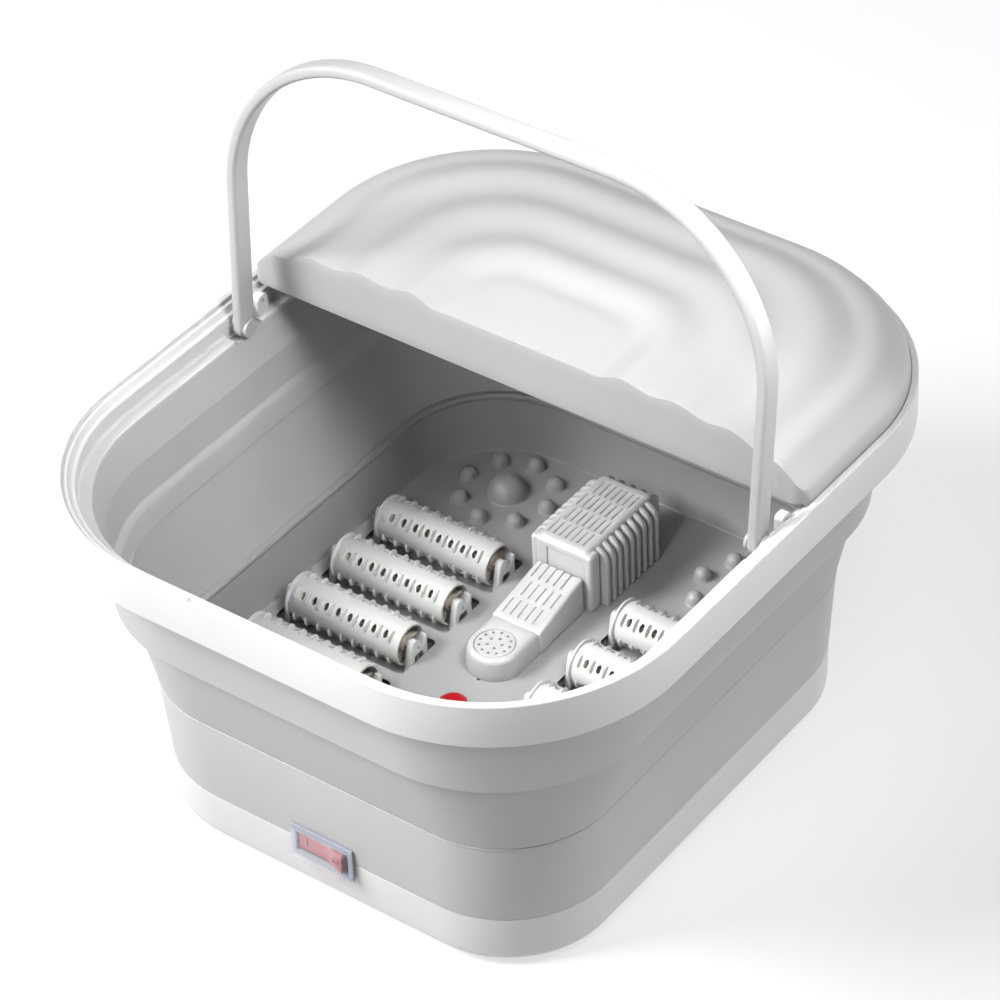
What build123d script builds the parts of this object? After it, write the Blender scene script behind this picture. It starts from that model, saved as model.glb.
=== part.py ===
from build123d import *
import math
import os

# Collapsible foot spa basin, in millimetres.
# X is across the basin, the switch faces -Y, +Z is up, and the feet stand on Z = 0 at the centre.

# ---- driving dimensions -----------------------------------------------------------------------
RIM_HALF_X = 180.0            # half-width over the rim's outer lip
LENGTH_EXTRA = 22.0           # every outline is this much longer than wide, on each side

FOOT_HEIGHT = 3.0
BASE_HEIGHT = 30.7            # white base, from the feet to the grey housing
HOUSING_HEIGHT = 51.9         # rigid grey housing
CLAMP_HEIGHT = 1.4
FOLD_HEIGHT = 55.0            # flexible wall between the clamp ring and the upper wall
UPPER_HEIGHT = 58.2           # upper wall, from its lower edge to the rim's ledge
RIM_RISE = 18.1               # rim's ledge underside to the top of the outer lip
SKIRT_HEIGHT = 25.9           # outer skirt of the rim
FLOOR_HEIGHT = 52.0           # top of the tub's floor above the table

# Insets from the rim's outer lip to each outline's outer face
UPPER_TOP_INSET = 19.0
UPPER_BOTTOM_INSET = 22.5
FOLD_TOP_INSET = 25.7
HOUSING_TOP_INSET = 41.8
HOUSING_BOTTOM_INSET = 44.5
BASE_BOTTOM_INSET = 46.1

# Corner radii of the outlines
RIM_CORNER = 108.0
UPPER_CORNER = 93.0
HOUSING_CORNER = 63.0
BASE_CORNER = 59.0

# Walls
BASE_WALL = 2.5
HOUSING_WALL = 2.4
FOLD_WALL = 2.6
UPPER_WALL = 2.2
TUB_WALL = 2.2
TUB_FLOOR = 2.5
RIM_WALL = 2.5
BASE_EDGE_ROUND = 6.0

# Rim section
OUTER_LIP = 3.6
GROOVE_WIDTH = 2.6
GROOVE_DEPTH = 2.2
RIM_WIDTH = 10.5              # outer lip to the inner lip
INNER_LIP_DROP = 0.9
LEDGE_WIDTH = 4.2
LEDGE_THICKNESS = 2.8
DECK_THICKNESS = 4.6
NOTCH_WIDTH = 72.0
NOTCH_DEPTH = 2.6

# Handle
HANDLE_RISE = 186.0           # pivot to the top of the arch
HANDLE_WIDTH = 12.5
HANDLE_THICKNESS = 6.5
HANDLE_CORNER = 95.0
HANDLE_SPLAY = 1.3            # how far each arm spreads between the pivot and the shoulder
HANDLE_LEAN = 4.3             # degrees back from upright at rest
HANDLE_EDGE_ROUND = 2.2
HANDLE_SIDE_GAP = 1.2         # arm's shoulder to the rim's inner lip
PIN_RADIUS = 3.0
PIN_CAP_RADIUS = 5.2
PIN_CAP_THICKNESS = 1.6
RUNNING_GAP = 0.06            # radial clearance of everything that turns
POCKET_FRONT = 10.0
POCKET_REAR = 13.0

# Lid
LID_FRONT_Y = 22.5
LID_RISE = 34.0               # lid's top field above its lower edge
LID_WALL = 2.0
LID_SHOULDER = 12.0
PART_GAP = 0.3                # between bodies that move against each other

# Rollers
ROLLER_ROWS = 4
ROLLER_PITCH = 40.0
ROLLER_RADIUS = 12.5
ROLLER_BORE = 11.0
RIB_HEIGHT = 2.1
RIB_THICKNESS = 1.7
RIB_WIDTH = 5.2
RIB_RINGS = 9
RIB_PITCH = 8.1
RIB_ROWS = 5
RIB_TURN = 43.0               # first row of ribs and holes, degrees from upright towards the front
ROLLER_HOLE_RADIUS = 1.6
ROLLER_FLANGE_THICKNESS = 1.6
ROLLER_FLANGE_RISE = 1.0
ROLLER_AXIS_RISE = 7.0        # axis above the tub's floor
ROLLER_INNER_X = 42.0
ROLLER_WALL_GAP = 13.5        # roller's outer end to the tub's wall
AXLE_RADIUS = 2.0
AXLE_OVERHANG = 5.0
HUB_THICKNESS = 2.4
HUB_INSET = 6.0
POCKET_GAP = 2.2              # rib tip to the wall of the roller pocket
POCKET_WALL = 2.0
CLIP_THICKNESS = 3.0
CLIP_WIDTH = 13.0
CLIP_GAP = 1.0
CLIP_TOP = 5.0

# Acupressure domes
DOME_RING = 27.5
DOME_COUNT = 8
DOME_RADIUS = 4.3
DOME_STEM = 1.6
BIG_DOME_RADIUS = 10.7
BIG_DOME_SINK = 3.0
DOME_REAR_GAP = 39.8          # cluster centre to the tub's rear wall
DOME_TO_ROLLER = 60.2

# Centre module
NOSE_RADIUS = 16.0
NOSE_Y = -6.0
NOSE_HEIGHT = 14.0
RAMP_FRONT_Y = 12.5
RAMP_RISE = 9.5
TOWER_FRONT_Y = 55.0
TOWER_LENGTH = 66.0
TOWER_HALF_X = 18.5
TOWER_HEIGHT = 39.5
TOWER_ROUND = 4.0
TOWER_WALL = 2.4
FIN_COUNT = 9
FIN_PITCH = 5.8
FIN_THICKNESS = 3.4
FIN_DEPTH = 5.5
FIN_DROP = 4.0
REAR_FIN_COUNT = 5
GRILLE_RADIUS = 11.1
GRILLE_THICKNESS = 1.4
GRILLE_HOLE_RADIUS = 0.9
COVER_WALL = 2.2
CELL_WIDTH = 3.0
CELL_RISE = 0.8
AIR_PORT_RADIUS = 5.0

# Lamp
LAMP_Y = -45.0
LAMP_RADIUS = 7.5
LAMP_SEAT_RADIUS = 5.5

# Switch
SWITCH_WIDTH = 42.0
SWITCH_HEIGHT = 21.0
BEZEL_THICKNESS = 2.4
BEZEL_FRAME = 4.0
ROCKER_GAP = 0.6
ROCKER_TILT = 7.0
ROCKER_DEPTH = 8.0
SWITCH_BODY_DEPTH = 17.0
BOOT_DEPTH = 7.5
BOOT_WALL = 0.9

# Inside the base
SERVICE_HALF_X = 78.0
SERVICE_HALF_Y = 92.0
SERVICE_LIP = 5.0
COVER_THICKNESS = 2.4
SCREW_RADIUS = 1.6
SCREW_HEAD_RADIUS = 3.4
SCREW_HEAD_HEIGHT = 1.8
SCREW_LENGTH = 12.0
BOSS_RADIUS = 4.2
FOOT_RADIUS = 9.0
INLET_Z = 19.0
INLET_BORE = 3.8
INLET_RADIUS = 7.5
INLET_THREAD_RADIUS = 5.5
WIRE_RADIUS = 1.5

# ---- derived heights and outlines -------------------------------------------------------------
BASE_BOTTOM_Z = FOOT_HEIGHT
BASE_TOP_Z = BASE_BOTTOM_Z + BASE_HEIGHT
HOUSING_TOP_Z = BASE_TOP_Z + HOUSING_HEIGHT
CLAMP_TOP_Z = HOUSING_TOP_Z + CLAMP_HEIGHT
FOLD_TOP_Z = CLAMP_TOP_Z + FOLD_HEIGHT
LEDGE_BOTTOM_Z = FOLD_TOP_Z + UPPER_HEIGHT
RIM_TOP_Z = LEDGE_BOTTOM_Z + RIM_RISE
SKIRT_BOTTOM_Z = RIM_TOP_Z - SKIRT_HEIGHT

BASE_BOTTOM_X = RIM_HALF_X - BASE_BOTTOM_INSET
HOUSING_BOTTOM_X = RIM_HALF_X - HOUSING_BOTTOM_INSET
HOUSING_TOP_X = RIM_HALF_X - HOUSING_TOP_INSET
FOLD_TOP_X = RIM_HALF_X - FOLD_TOP_INSET
UPPER_BOTTOM_X = RIM_HALF_X - UPPER_BOTTOM_INSET
UPPER_TOP_X = RIM_HALF_X - UPPER_TOP_INSET
INNER_LIP_X = RIM_HALF_X - RIM_WIDTH
LEDGE_EDGE_X = INNER_LIP_X - LEDGE_WIDTH

FIT_GAP = 0.2
TUB_TOP_Z = CLAMP_TOP_Z + 4.5
TUB_TOP_X = HOUSING_TOP_X - HOUSING_WALL - FIT_GAP
TUB_FLOOR_X = HOUSING_BOTTOM_X - HOUSING_WALL - FIT_GAP + 0.9
TUB_INNER_FLOOR_X = TUB_FLOOR_X - TUB_WALL

ROLLER_AXIS_Z = FLOOR_HEIGHT + ROLLER_AXIS_RISE
ROLLER_OUTER_X = TUB_INNER_FLOOR_X - ROLLER_WALL_GAP
ROLLER_LENGTH = ROLLER_OUTER_X - ROLLER_INNER_X
ROLLER_CENTRE_X = ROLLER_INNER_X + ROLLER_LENGTH / 2
ROLLER_TIP = ROLLER_RADIUS + RIB_HEIGHT
POCKET_HALF_Y = ROLLER_TIP + POCKET_GAP
POCKET_HALF_X = ROLLER_LENGTH / 2 + CLIP_GAP + CLIP_THICKNESS + CLIP_GAP + 1.6
POCKET_FLOOR_Z = ROLLER_AXIS_Z - ROLLER_TIP - POCKET_GAP

DOME_Y = TUB_INNER_FLOOR_X + LENGTH_EXTRA - DOME_REAR_GAP
ROLLER_ROW_Y = [DOME_Y - DOME_TO_ROLLER - row * ROLLER_PITCH for row in range(ROLLER_ROWS)]

PIVOT_Z = LEDGE_BOTTOM_Z + HANDLE_WIDTH / 2 + PART_GAP
SHOULDER_X = INNER_LIP_X - HANDLE_SIDE_GAP
ARM_X = SHOULDER_X - HANDLE_SPLAY

SWITCH_Z = BASE_TOP_Z
FRONT_Y = -(HOUSING_BOTTOM_X + LENGTH_EXTRA)


# ---- shared shapes ----------------------------------------------------------------------------
def outline(half_x, corner, z):
    """Rounded rectangle of the basin's family at height z."""
    return Pos(0, 0, z) * RectangleRounded(2 * half_x, 2 * (half_x + LENGTH_EXTRA), corner)


def tapered(levels):
    """Solid through (half-width, corner radius, height) outlines, with straight sides between."""
    return loft([outline(*level) for level in levels], ruled=True)


def inward(levels, wall):
    """The same outlines moved in by a wall."""
    return [(half_x - wall, corner - wall, z) for half_x, corner, z in levels]


def tube(levels, wall):
    return tapered(levels) - tapered(inward(levels, wall))


def cylinder_x(radius, x_low, x_high, y, z):
    """Cylinder along X between two places."""
    return Pos((x_low + x_high) / 2, y, z) * Rot(0, 90, 0) * Cylinder(radius, abs(x_high - x_low))


def cylinder_y(radius, y_low, y_high, x, z):
    return Pos(x, (y_low + y_high) / 2, z) * Rot(90, 0, 0) * Cylinder(radius, abs(y_high - y_low))


def cylinder_z(radius, z_low, z_high, x, y):
    return Pos(x, y, (z_low + z_high) / 2) * Cylinder(radius, z_high - z_low)


def box(low, high):
    """Box from its lowest corner to its highest."""
    size = [b - a for a, b in zip(low, high)]
    centre = [(a + b) / 2 for a, b in zip(low, high)]
    return Pos(*centre) * Box(*size)


def joined(solids):
    """Solids that touch or overlap, made one."""
    first, *rest = solids
    return first.fuse(*rest) if rest else first


def rectangle_spots(half_x, half_y):
    return [(sx * half_x, sy * half_y) for sx in (-1, 1) for sy in (-1, 1)]


# ---- base -------------------------------------------------------------------------------------
BASE_LEVELS = [(BASE_BOTTOM_X, BASE_CORNER, BASE_BOTTOM_Z), (HOUSING_BOTTOM_X, HOUSING_CORNER, BASE_TOP_Z)]
BOSS_SPOTS = rectangle_spots(SERVICE_HALF_X + 22, SERVICE_HALF_Y + 22)
COVER_SCREW_SPOTS = rectangle_spots(SERVICE_HALF_X - 9, SERVICE_HALF_Y - 9)
BASE_FLOOR_Z = BASE_BOTTOM_Z + BASE_WALL
TUB_UNDER_Z = FLOOR_HEIGHT - TUB_FLOOR
BOSS_TOP_Z = TUB_UNDER_Z - 2


def switch_cutout():
    half_x = SWITCH_WIDTH / 2 - 2
    half_z = SWITCH_HEIGHT / 2 - 2
    return box((-half_x, FRONT_Y - 5, SWITCH_Z - half_z), (half_x, FRONT_Y + 12, SWITCH_Z + half_z))


def base_shell():
    outer = tapered(BASE_LEVELS)
    outer = fillet(outer.edges().group_by(Axis.Z)[0], BASE_EDGE_ROUND)
    floor_levels = inward(BASE_LEVELS, BASE_WALL)
    low_x, low_corner, _ = floor_levels[0]
    cavity = tapered([(low_x, low_corner, BASE_FLOOR_Z), floor_levels[1]])
    cavity = fillet(cavity.edges().group_by(Axis.Z)[0], BASE_EDGE_ROUND - BASE_WALL)
    shell = outer - cavity
    bosses = [cylinder_z(BOSS_RADIUS, BASE_FLOOR_Z - 1, BOSS_TOP_Z, x, y) for x, y in BOSS_SPOTS]
    shell = joined([shell] + bosses)
    opening = box(
        (-SERVICE_HALF_X + SERVICE_LIP, -SERVICE_HALF_Y + SERVICE_LIP, 0),
        (SERVICE_HALF_X - SERVICE_LIP, SERVICE_HALF_Y - SERVICE_LIP, BASE_FLOOR_Z + 1),
    )
    shell -= opening
    for x, y in BOSS_SPOTS:
        shell -= cylinder_z(SCREW_RADIUS, 0, BOSS_TOP_Z + 1, x, y)
        shell -= cylinder_z(SCREW_HEAD_RADIUS + FIT_GAP, 0, BASE_BOTTOM_Z + SCREW_HEAD_HEIGHT, x, y)
    rear_y = HOUSING_BOTTOM_X + LENGTH_EXTRA
    shell -= cylinder_y(INLET_THREAD_RADIUS, rear_y - 12, rear_y + 5, 0, INLET_Z)
    return shell - switch_cutout()


def bottom_cover():
    """Service plate that lies on the inside of the base's floor, with vent slots."""
    plate = box(
        (-SERVICE_HALF_X, -SERVICE_HALF_Y, BASE_FLOOR_Z),
        (SERVICE_HALF_X, SERVICE_HALF_Y, BASE_FLOOR_Z + COVER_THICKNESS),
    )
    for x in range(-30, 31, 12):
        plate -= Pos(x, -62, BASE_FLOOR_Z) * Box(4, 26, 4 * COVER_THICKNESS)
    for x, y in COVER_SCREW_SPOTS:
        plate -= cylinder_z(SCREW_RADIUS, 0, BASE_FLOOR_Z + 10, x, y)
    return plate


def screw(x, y, head_z, length):
    """Pan head below, shank up."""
    head = cylinder_z(SCREW_HEAD_RADIUS, head_z - SCREW_HEAD_HEIGHT, head_z, x, y)
    shank = cylinder_z(SCREW_RADIUS, head_z, head_z + length, x, y)
    drive = Pos(x, y, head_z - SCREW_HEAD_HEIGHT) * (Box(4, 0.8, 1.6) + Box(0.8, 4, 1.6))
    return joined([head, shank]) - drive


def body_screws():
    head_z = BASE_BOTTOM_Z + SCREW_HEAD_HEIGHT
    return [screw(x, y, head_z, BOSS_TOP_Z - head_z - 1) for x, y in BOSS_SPOTS]


def cover_screws():
    return [screw(x, y, BASE_FLOOR_Z, COVER_THICKNESS + 1.6) for x, y in COVER_SCREW_SPOTS]


def rubber_feet():
    feet = []
    for x, y in rectangle_spots(SERVICE_HALF_X + 18, SERVICE_HALF_Y + 34):
        pad = cylinder_z(FOOT_RADIUS, 0, BASE_BOTTOM_Z, x, y)
        feet.append(fillet(pad.edges().group_by(Axis.Z)[0], 1.0))
    return feet


def mid_housing():
    levels = [
        (HOUSING_BOTTOM_X, HOUSING_CORNER, BASE_TOP_Z),
        (HOUSING_TOP_X, HOUSING_CORNER, HOUSING_TOP_Z),
    ]
    return tube(levels, HOUSING_WALL) - switch_cutout()


def clamp_ring():
    """Thin ring that nips the flexible wall's lower edge onto the housing."""
    levels = [
        (HOUSING_TOP_X + 0.2, HOUSING_CORNER, HOUSING_TOP_Z),
        (HOUSING_TOP_X + 0.2, HOUSING_CORNER, CLAMP_TOP_Z),
    ]
    return tube(levels, HOUSING_WALL + FIT_GAP)


def fold_wall():
    levels = [
        (HOUSING_TOP_X, HOUSING_CORNER, CLAMP_TOP_Z),
        (FOLD_TOP_X, UPPER_CORNER - 3, FOLD_TOP_Z + 4),
    ]
    return tube(levels, FOLD_WALL)


# ---- tub --------------------------------------------------------------------------------------
def pocket_box(side, y, grow, z_low, z_high):
    x = side * ROLLER_CENTRE_X
    half_x = POCKET_HALF_X + grow
    half_y = POCKET_HALF_Y + grow
    return box((x - half_x, y - half_y, z_low), (x + half_x, y + half_y, z_high))


def small_dome(x, y):
    stem = cylinder_z(DOME_RADIUS, FLOOR_HEIGHT - 1, FLOOR_HEIGHT + DOME_STEM, x, y)
    cap = Pos(x, y, FLOOR_HEIGHT + DOME_STEM) * Sphere(DOME_RADIUS)
    upper = box((x - 6, y - 6, FLOOR_HEIGHT - 1), (x + 6, y + 6, FLOOR_HEIGHT + 12))
    return joined([stem, cap & upper])


def big_dome(x, y):
    upper = box((x - 12, y - 12, FLOOR_HEIGHT - 1), (x + 12, y + 12, FLOOR_HEIGHT + 12))
    return (Pos(x, y, FLOOR_HEIGHT - BIG_DOME_SINK) * Sphere(BIG_DOME_RADIUS)) & upper


def dome_cluster(side):
    x = side * ROLLER_CENTRE_X
    domes = [big_dome(x, DOME_Y)]
    for step in range(DOME_COUNT):
        angle = 2 * math.pi * step / DOME_COUNT
        domes.append(small_dome(x + DOME_RING * math.cos(angle), DOME_Y + DOME_RING * math.sin(angle)))
    return domes


def tub():
    wall_low = (TUB_FLOOR_X, HOUSING_CORNER - HOUSING_WALL, TUB_UNDER_Z)
    wall_high = (TUB_TOP_X, HOUSING_CORNER - HOUSING_WALL, TUB_TOP_Z)
    outer = tapered([wall_low, wall_high])
    inner_low = (TUB_INNER_FLOOR_X, HOUSING_CORNER - HOUSING_WALL - TUB_WALL, FLOOR_HEIGHT)
    inner_high = (TUB_TOP_X - TUB_WALL, HOUSING_CORNER - HOUSING_WALL - TUB_WALL, TUB_TOP_Z)
    cavity = tapered([inner_low, inner_high])
    cavity = fillet(cavity.edges().group_by(Axis.Z)[0], 3)
    body = outer - cavity
    wells = []
    for side in (-1, 1):
        for y in ROLLER_ROW_Y:
            wells.append(pocket_box(side, y, POCKET_WALL, POCKET_FLOOR_Z - POCKET_WALL, TUB_UNDER_Z + 1))
    body = joined([body] + wells)
    for side in (-1, 1):
        for y in ROLLER_ROW_Y:
            body -= pocket_box(side, y, 0, POCKET_FLOOR_Z, FLOOR_HEIGHT + 1)
    body = joined([body] + dome_cluster(-1) + dome_cluster(1))
    body -= cylinder_z(LAMP_SEAT_RADIUS, TUB_UNDER_Z - 1, FLOOR_HEIGHT + 1, 0, LAMP_Y)
    body -= cylinder_z(AIR_PORT_RADIUS, TUB_UNDER_Z - 1, FLOOR_HEIGHT + 1, 0, NOSE_Y)
    rib_x = TUB_INNER_FLOOR_X
    body = joined([body] + [box((s * rib_x - 2, DOME_Y - 33, FLOOR_HEIGHT - 1),
                                (s * rib_x + 2, DOME_Y - 20, TUB_TOP_Z - 14)) for s in (-1, 1)])
    trim = tapered([wall_low, wall_high])
    below = box((-400, -400, 0), (400, 400, TUB_UNDER_Z))
    return (body & trim) + (body & below)


def roller_clips(side):
    """Two slotted uprights for each roller, standing on the pocket's floor."""
    clips = []
    for y in ROLLER_ROW_Y:
        for x in (ROLLER_INNER_X - CLIP_GAP - CLIP_THICKNESS / 2, ROLLER_OUTER_X + CLIP_GAP + CLIP_THICKNESS / 2):
            low = (side * x - CLIP_THICKNESS / 2, y - CLIP_WIDTH / 2, POCKET_FLOOR_Z)
            high = (side * x + CLIP_THICKNESS / 2, y + CLIP_WIDTH / 2, ROLLER_AXIS_Z + CLIP_TOP)
            plate = fillet(box(low, high).edges().filter_by(Axis.X).group_by(Axis.Z)[-1], 4)
            bore = AXLE_RADIUS + RUNNING_GAP
            plate -= cylinder_x(bore, low[0] - 1, high[0] + 1, y, ROLLER_AXIS_Z)
            plate -= box((low[0] - 1, y - 1.2, ROLLER_AXIS_Z), (high[0] + 1, y + 1.2, high[2] + 1))
            clips.append(plate)
    return clips


def roller_tube():
    """Hollow roller along X, centred on the origin: rows of short ribs with a drilled hole between each two."""
    half = ROLLER_LENGTH / 2
    body = cylinder_x(ROLLER_RADIUS, -half, half, 0, 0)
    flange = cylinder_x(ROLLER_RADIUS + ROLLER_FLANGE_RISE, -half, -half + ROLLER_FLANGE_THICKNESS, 0, 0)
    first = -(RIB_RINGS - 1) / 2 * RIB_PITCH
    rib = box((-RIB_THICKNESS / 2, -RIB_WIDTH / 2, ROLLER_RADIUS - 1), (RIB_THICKNESS / 2, RIB_WIDTH / 2, ROLLER_TIP))
    rib = rib & cylinder_x(ROLLER_TIP, -RIB_THICKNESS, RIB_THICKNESS, 0, 0)
    ribs = []
    drills = []
    for row in range(RIB_ROWS):
        turn = Rot(RIB_TURN + 360 / RIB_ROWS * row, 0, 0)
        for ring in range(RIB_RINGS):
            ribs.append(turn * Pos(first + ring * RIB_PITCH, 0, 0) * rib)
        for ring in range(RIB_RINGS - 1):
            x = first + (ring + 0.5) * RIB_PITCH
            drills.append(turn * cylinder_z(ROLLER_HOLE_RADIUS, ROLLER_BORE - 1, ROLLER_TIP + 1, x, 0))
    roller = joined([body, flange] + ribs)
    roller = roller.cut(*drills)
    return roller - cylinder_x(ROLLER_BORE, -half - 1, half + 1, 0, 0)


def roller_axle():
    """Steel pin with two spoked hubs that press into the roller's bore."""
    half = ROLLER_LENGTH / 2
    pin = cylinder_x(AXLE_RADIUS, -half - AXLE_OVERHANG, half + AXLE_OVERHANG, 0, 0)
    pieces = [pin]
    for centre in (-half + HUB_INSET, half - HUB_INSET):
        hub = cylinder_x(ROLLER_BORE, centre - HUB_THICKNESS / 2, centre + HUB_THICKNESS / 2, 0, 0)
        for turn in range(3):
            hub -= Rot(120 * turn, 0, 0) * cylinder_x(2.6, centre - 3, centre + 3, 0, 6.4)
        pieces.append(hub)
    return joined(pieces)


# ---- centre module ----------------------------------------------------------------------------
def module_side(y_low, y_high, half_x, z_low, z_front, z_rear):
    """Block with a sloping top, seen from the side."""
    side = Polyline((y_low, z_low), (y_high, z_low), (y_high, z_rear), (y_low, z_front), close=True)
    return extrude(Plane.YZ * make_face(side), half_x, both=True)


def nozzle_cover():
    """Round nose of the module, with a seat for the air grille."""
    top_z = FLOOR_HEIGHT + NOSE_HEIGHT
    nose = cylinder_z(NOSE_RADIUS, FLOOR_HEIGHT, top_z, 0, NOSE_Y)
    tail = box((-NOSE_RADIUS, NOSE_Y, FLOOR_HEIGHT), (NOSE_RADIUS, RAMP_FRONT_Y - 0.2, top_z))
    solid = joined([nose, tail])
    solid = fillet(solid.edges().group_by(Axis.Z)[-1].filter_by(
        lambda edge: edge.center().Y < RAMP_FRONT_Y - 1), 2.5)
    solid -= box((-RIM_HALF_X, RAMP_FRONT_Y - 0.2, 0), (RIM_HALF_X, RIM_HALF_X, RIM_TOP_Z))
    solid -= cylinder_z(NOSE_RADIUS - COVER_WALL, FLOOR_HEIGHT, top_z - COVER_WALL, 0, NOSE_Y)
    solid -= cylinder_z(GRILLE_RADIUS + 0.15, top_z - GRILLE_THICKNESS, top_z + 1, 0, NOSE_Y)
    return solid - cylinder_z(GRILLE_RADIUS - 1.4, top_z - 5, top_z + 1, 0, NOSE_Y)


def air_grille():
    top_z = FLOOR_HEIGHT + NOSE_HEIGHT
    plate = cylinder_z(GRILLE_RADIUS, top_z - GRILLE_THICKNESS, top_z, 0, NOSE_Y)
    holes = []
    for count, ring in ((12, 8.6), (5, 4.2)):
        for step in range(count):
            angle = 2 * math.pi * step / count
            spot = (ring * math.cos(angle), NOSE_Y + ring * math.sin(angle))
            holes.append(cylinder_z(GRILLE_HOLE_RADIUS, top_z - 3, top_z + 1, *spot))
    return plate.cut(*holes)


def ramp_cover():
    front_z = FLOOR_HEIGHT + NOSE_HEIGHT
    rear_z = front_z + RAMP_RISE
    half_x = NOSE_RADIUS + 0.6
    shape = module_side(RAMP_FRONT_Y, TOWER_FRONT_Y - 0.2, half_x, FLOOR_HEIGHT, front_z, rear_z)
    inner = module_side(RAMP_FRONT_Y + COVER_WALL, TOWER_FRONT_Y - 0.2 - COVER_WALL, half_x - COVER_WALL,
                        FLOOR_HEIGHT, front_z - COVER_WALL, rear_z - COVER_WALL)
    shape -= inner
    length = TOWER_FRONT_Y - RAMP_FRONT_Y
    slope = math.degrees(math.atan2(RAMP_RISE, length))
    cells = []
    for row in range(3):
        for column in range(5):
            x = (column - 2) * 5.2 + (1.3 if row % 2 else -1.3)
            y = RAMP_FRONT_Y + 8 + row * 13
            z = front_z + RAMP_RISE * (y - RAMP_FRONT_Y) / length
            cells.append(Pos(x, y, z) * Rot(slope, 0, 0) * Box(CELL_WIDTH, 11, 2 * CELL_RISE))
    return joined([shape] + cells)


def heater_tower():
    """Finned housing over the heater, closed on top by a raised grid."""
    top_z = FLOOR_HEIGHT + TOWER_HEIGHT
    rear_y = TOWER_FRONT_Y + TOWER_LENGTH
    low = (-TOWER_HALF_X, TOWER_FRONT_Y, FLOOR_HEIGHT)
    high = (TOWER_HALF_X, rear_y, top_z)
    block = box(low, high)
    upright = block.edges().filter_by(Axis.Z)
    block = fillet(list(upright) + list(block.edges().group_by(Axis.Z)[-1]), TOWER_ROUND)
    block -= box((low[0] + TOWER_WALL, low[1] + TOWER_WALL, low[2]),
                 (high[0] - TOWER_WALL, high[1] - TOWER_WALL, high[2] - TOWER_WALL - 1))
    pieces = [block]
    fin_top = top_z - FIN_DROP
    middle_y = (TOWER_FRONT_Y + rear_y) / 2
    for step in range(FIN_COUNT):
        y = middle_y + (step - (FIN_COUNT - 1) / 2) * FIN_PITCH
        for side in (-1, 1):
            x_low, x_high = sorted((side * (TOWER_HALF_X - 1), side * (TOWER_HALF_X + FIN_DEPTH)))
            fin = box((x_low, y - FIN_THICKNESS / 2, FLOOR_HEIGHT), (x_high, y + FIN_THICKNESS / 2, fin_top))
            outer_top = fin.edges().filter_by(Axis.Y).group_by(Axis.Z)[-1].sort_by(Axis.X)
            fin = fillet(outer_top[-1 if side > 0 else 0], FIN_DEPTH - 1)
            pieces.append(fin)
    for step in range(REAR_FIN_COUNT):
        x = (step - (REAR_FIN_COUNT - 1) / 2) * 7.4
        fin = box((x - FIN_THICKNESS / 2, rear_y - 1, FLOOR_HEIGHT), (x + FIN_THICKNESS / 2, rear_y + 5, fin_top))
        pieces.append(fillet(fin.edges().filter_by(Axis.X).group_by(Axis.Z)[-1].sort_by(Axis.Y)[-1], 4))
    for row in range(4):
        for column in range(7):
            x = (column - 3) * 4.3 + (1.0 if row % 2 else -1.0)
            y = TOWER_FRONT_Y + 12 + row * 13.6
            pieces.append(Pos(x, y, top_z) * Box(CELL_WIDTH, 11.6, 2 * CELL_RISE))
    return joined(pieces)


def lamp_lens():
    dome = (Pos(0, LAMP_Y, FLOOR_HEIGHT - 12) * Sphere(14.6)) & box(
        (-LAMP_RADIUS, LAMP_Y - LAMP_RADIUS, FLOOR_HEIGHT + 0.6), (LAMP_RADIUS, LAMP_Y + LAMP_RADIUS, FLOOR_HEIGHT + 9))
    disc = cylinder_z(LAMP_RADIUS, FLOOR_HEIGHT + 0.6, FLOOR_HEIGHT + 1.4, 0, LAMP_Y)
    stem = cylinder_z(LAMP_SEAT_RADIUS - FIT_GAP, TUB_UNDER_Z - 2, FLOOR_HEIGHT + 1, 0, LAMP_Y)
    cap = dome & cylinder_z(LAMP_RADIUS, FLOOR_HEIGHT, FLOOR_HEIGHT + 9, 0, LAMP_Y)
    return joined([disc, stem, cap])


def lamp_gasket():
    ring = cylinder_z(LAMP_RADIUS + 0.4, FLOOR_HEIGHT, FLOOR_HEIGHT + 0.6, 0, LAMP_Y)
    return ring - cylinder_z(LAMP_SEAT_RADIUS - FIT_GAP, FLOOR_HEIGHT - 1, FLOOR_HEIGHT + 2, 0, LAMP_Y)


def lamp_board():
    top_z = TUB_UNDER_Z - 6
    board = cylinder_z(11, top_z - 1.6, top_z, 0, LAMP_Y)
    pieces = [board]
    for turn in range(3):
        angle = math.radians(120 * turn + 90)
        spot = (3.2 * math.cos(angle), LAMP_Y + 3.2 * math.sin(angle))
        pieces.append(cylinder_z(1.5, top_z - 0.4, top_z + 3, *spot))
    return joined(pieces)


# ---- switch -----------------------------------------------------------------------------------
BEZEL_BACK_Y = FRONT_Y - (HOUSING_TOP_X - HOUSING_BOTTOM_X) / HOUSING_HEIGHT * SWITCH_HEIGHT / 2 - 0.05
BEZEL_FRONT_Y = BEZEL_BACK_Y - BEZEL_THICKNESS
WINDOW_HALF_X = SWITCH_WIDTH / 2 - BEZEL_FRAME
WINDOW_HALF_Z = SWITCH_HEIGHT / 2 - BEZEL_FRAME


def around_switch(half_x, half_z, y_low, y_high):
    return box((-half_x, y_low, SWITCH_Z - half_z), (half_x, y_high, SWITCH_Z + half_z))


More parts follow.
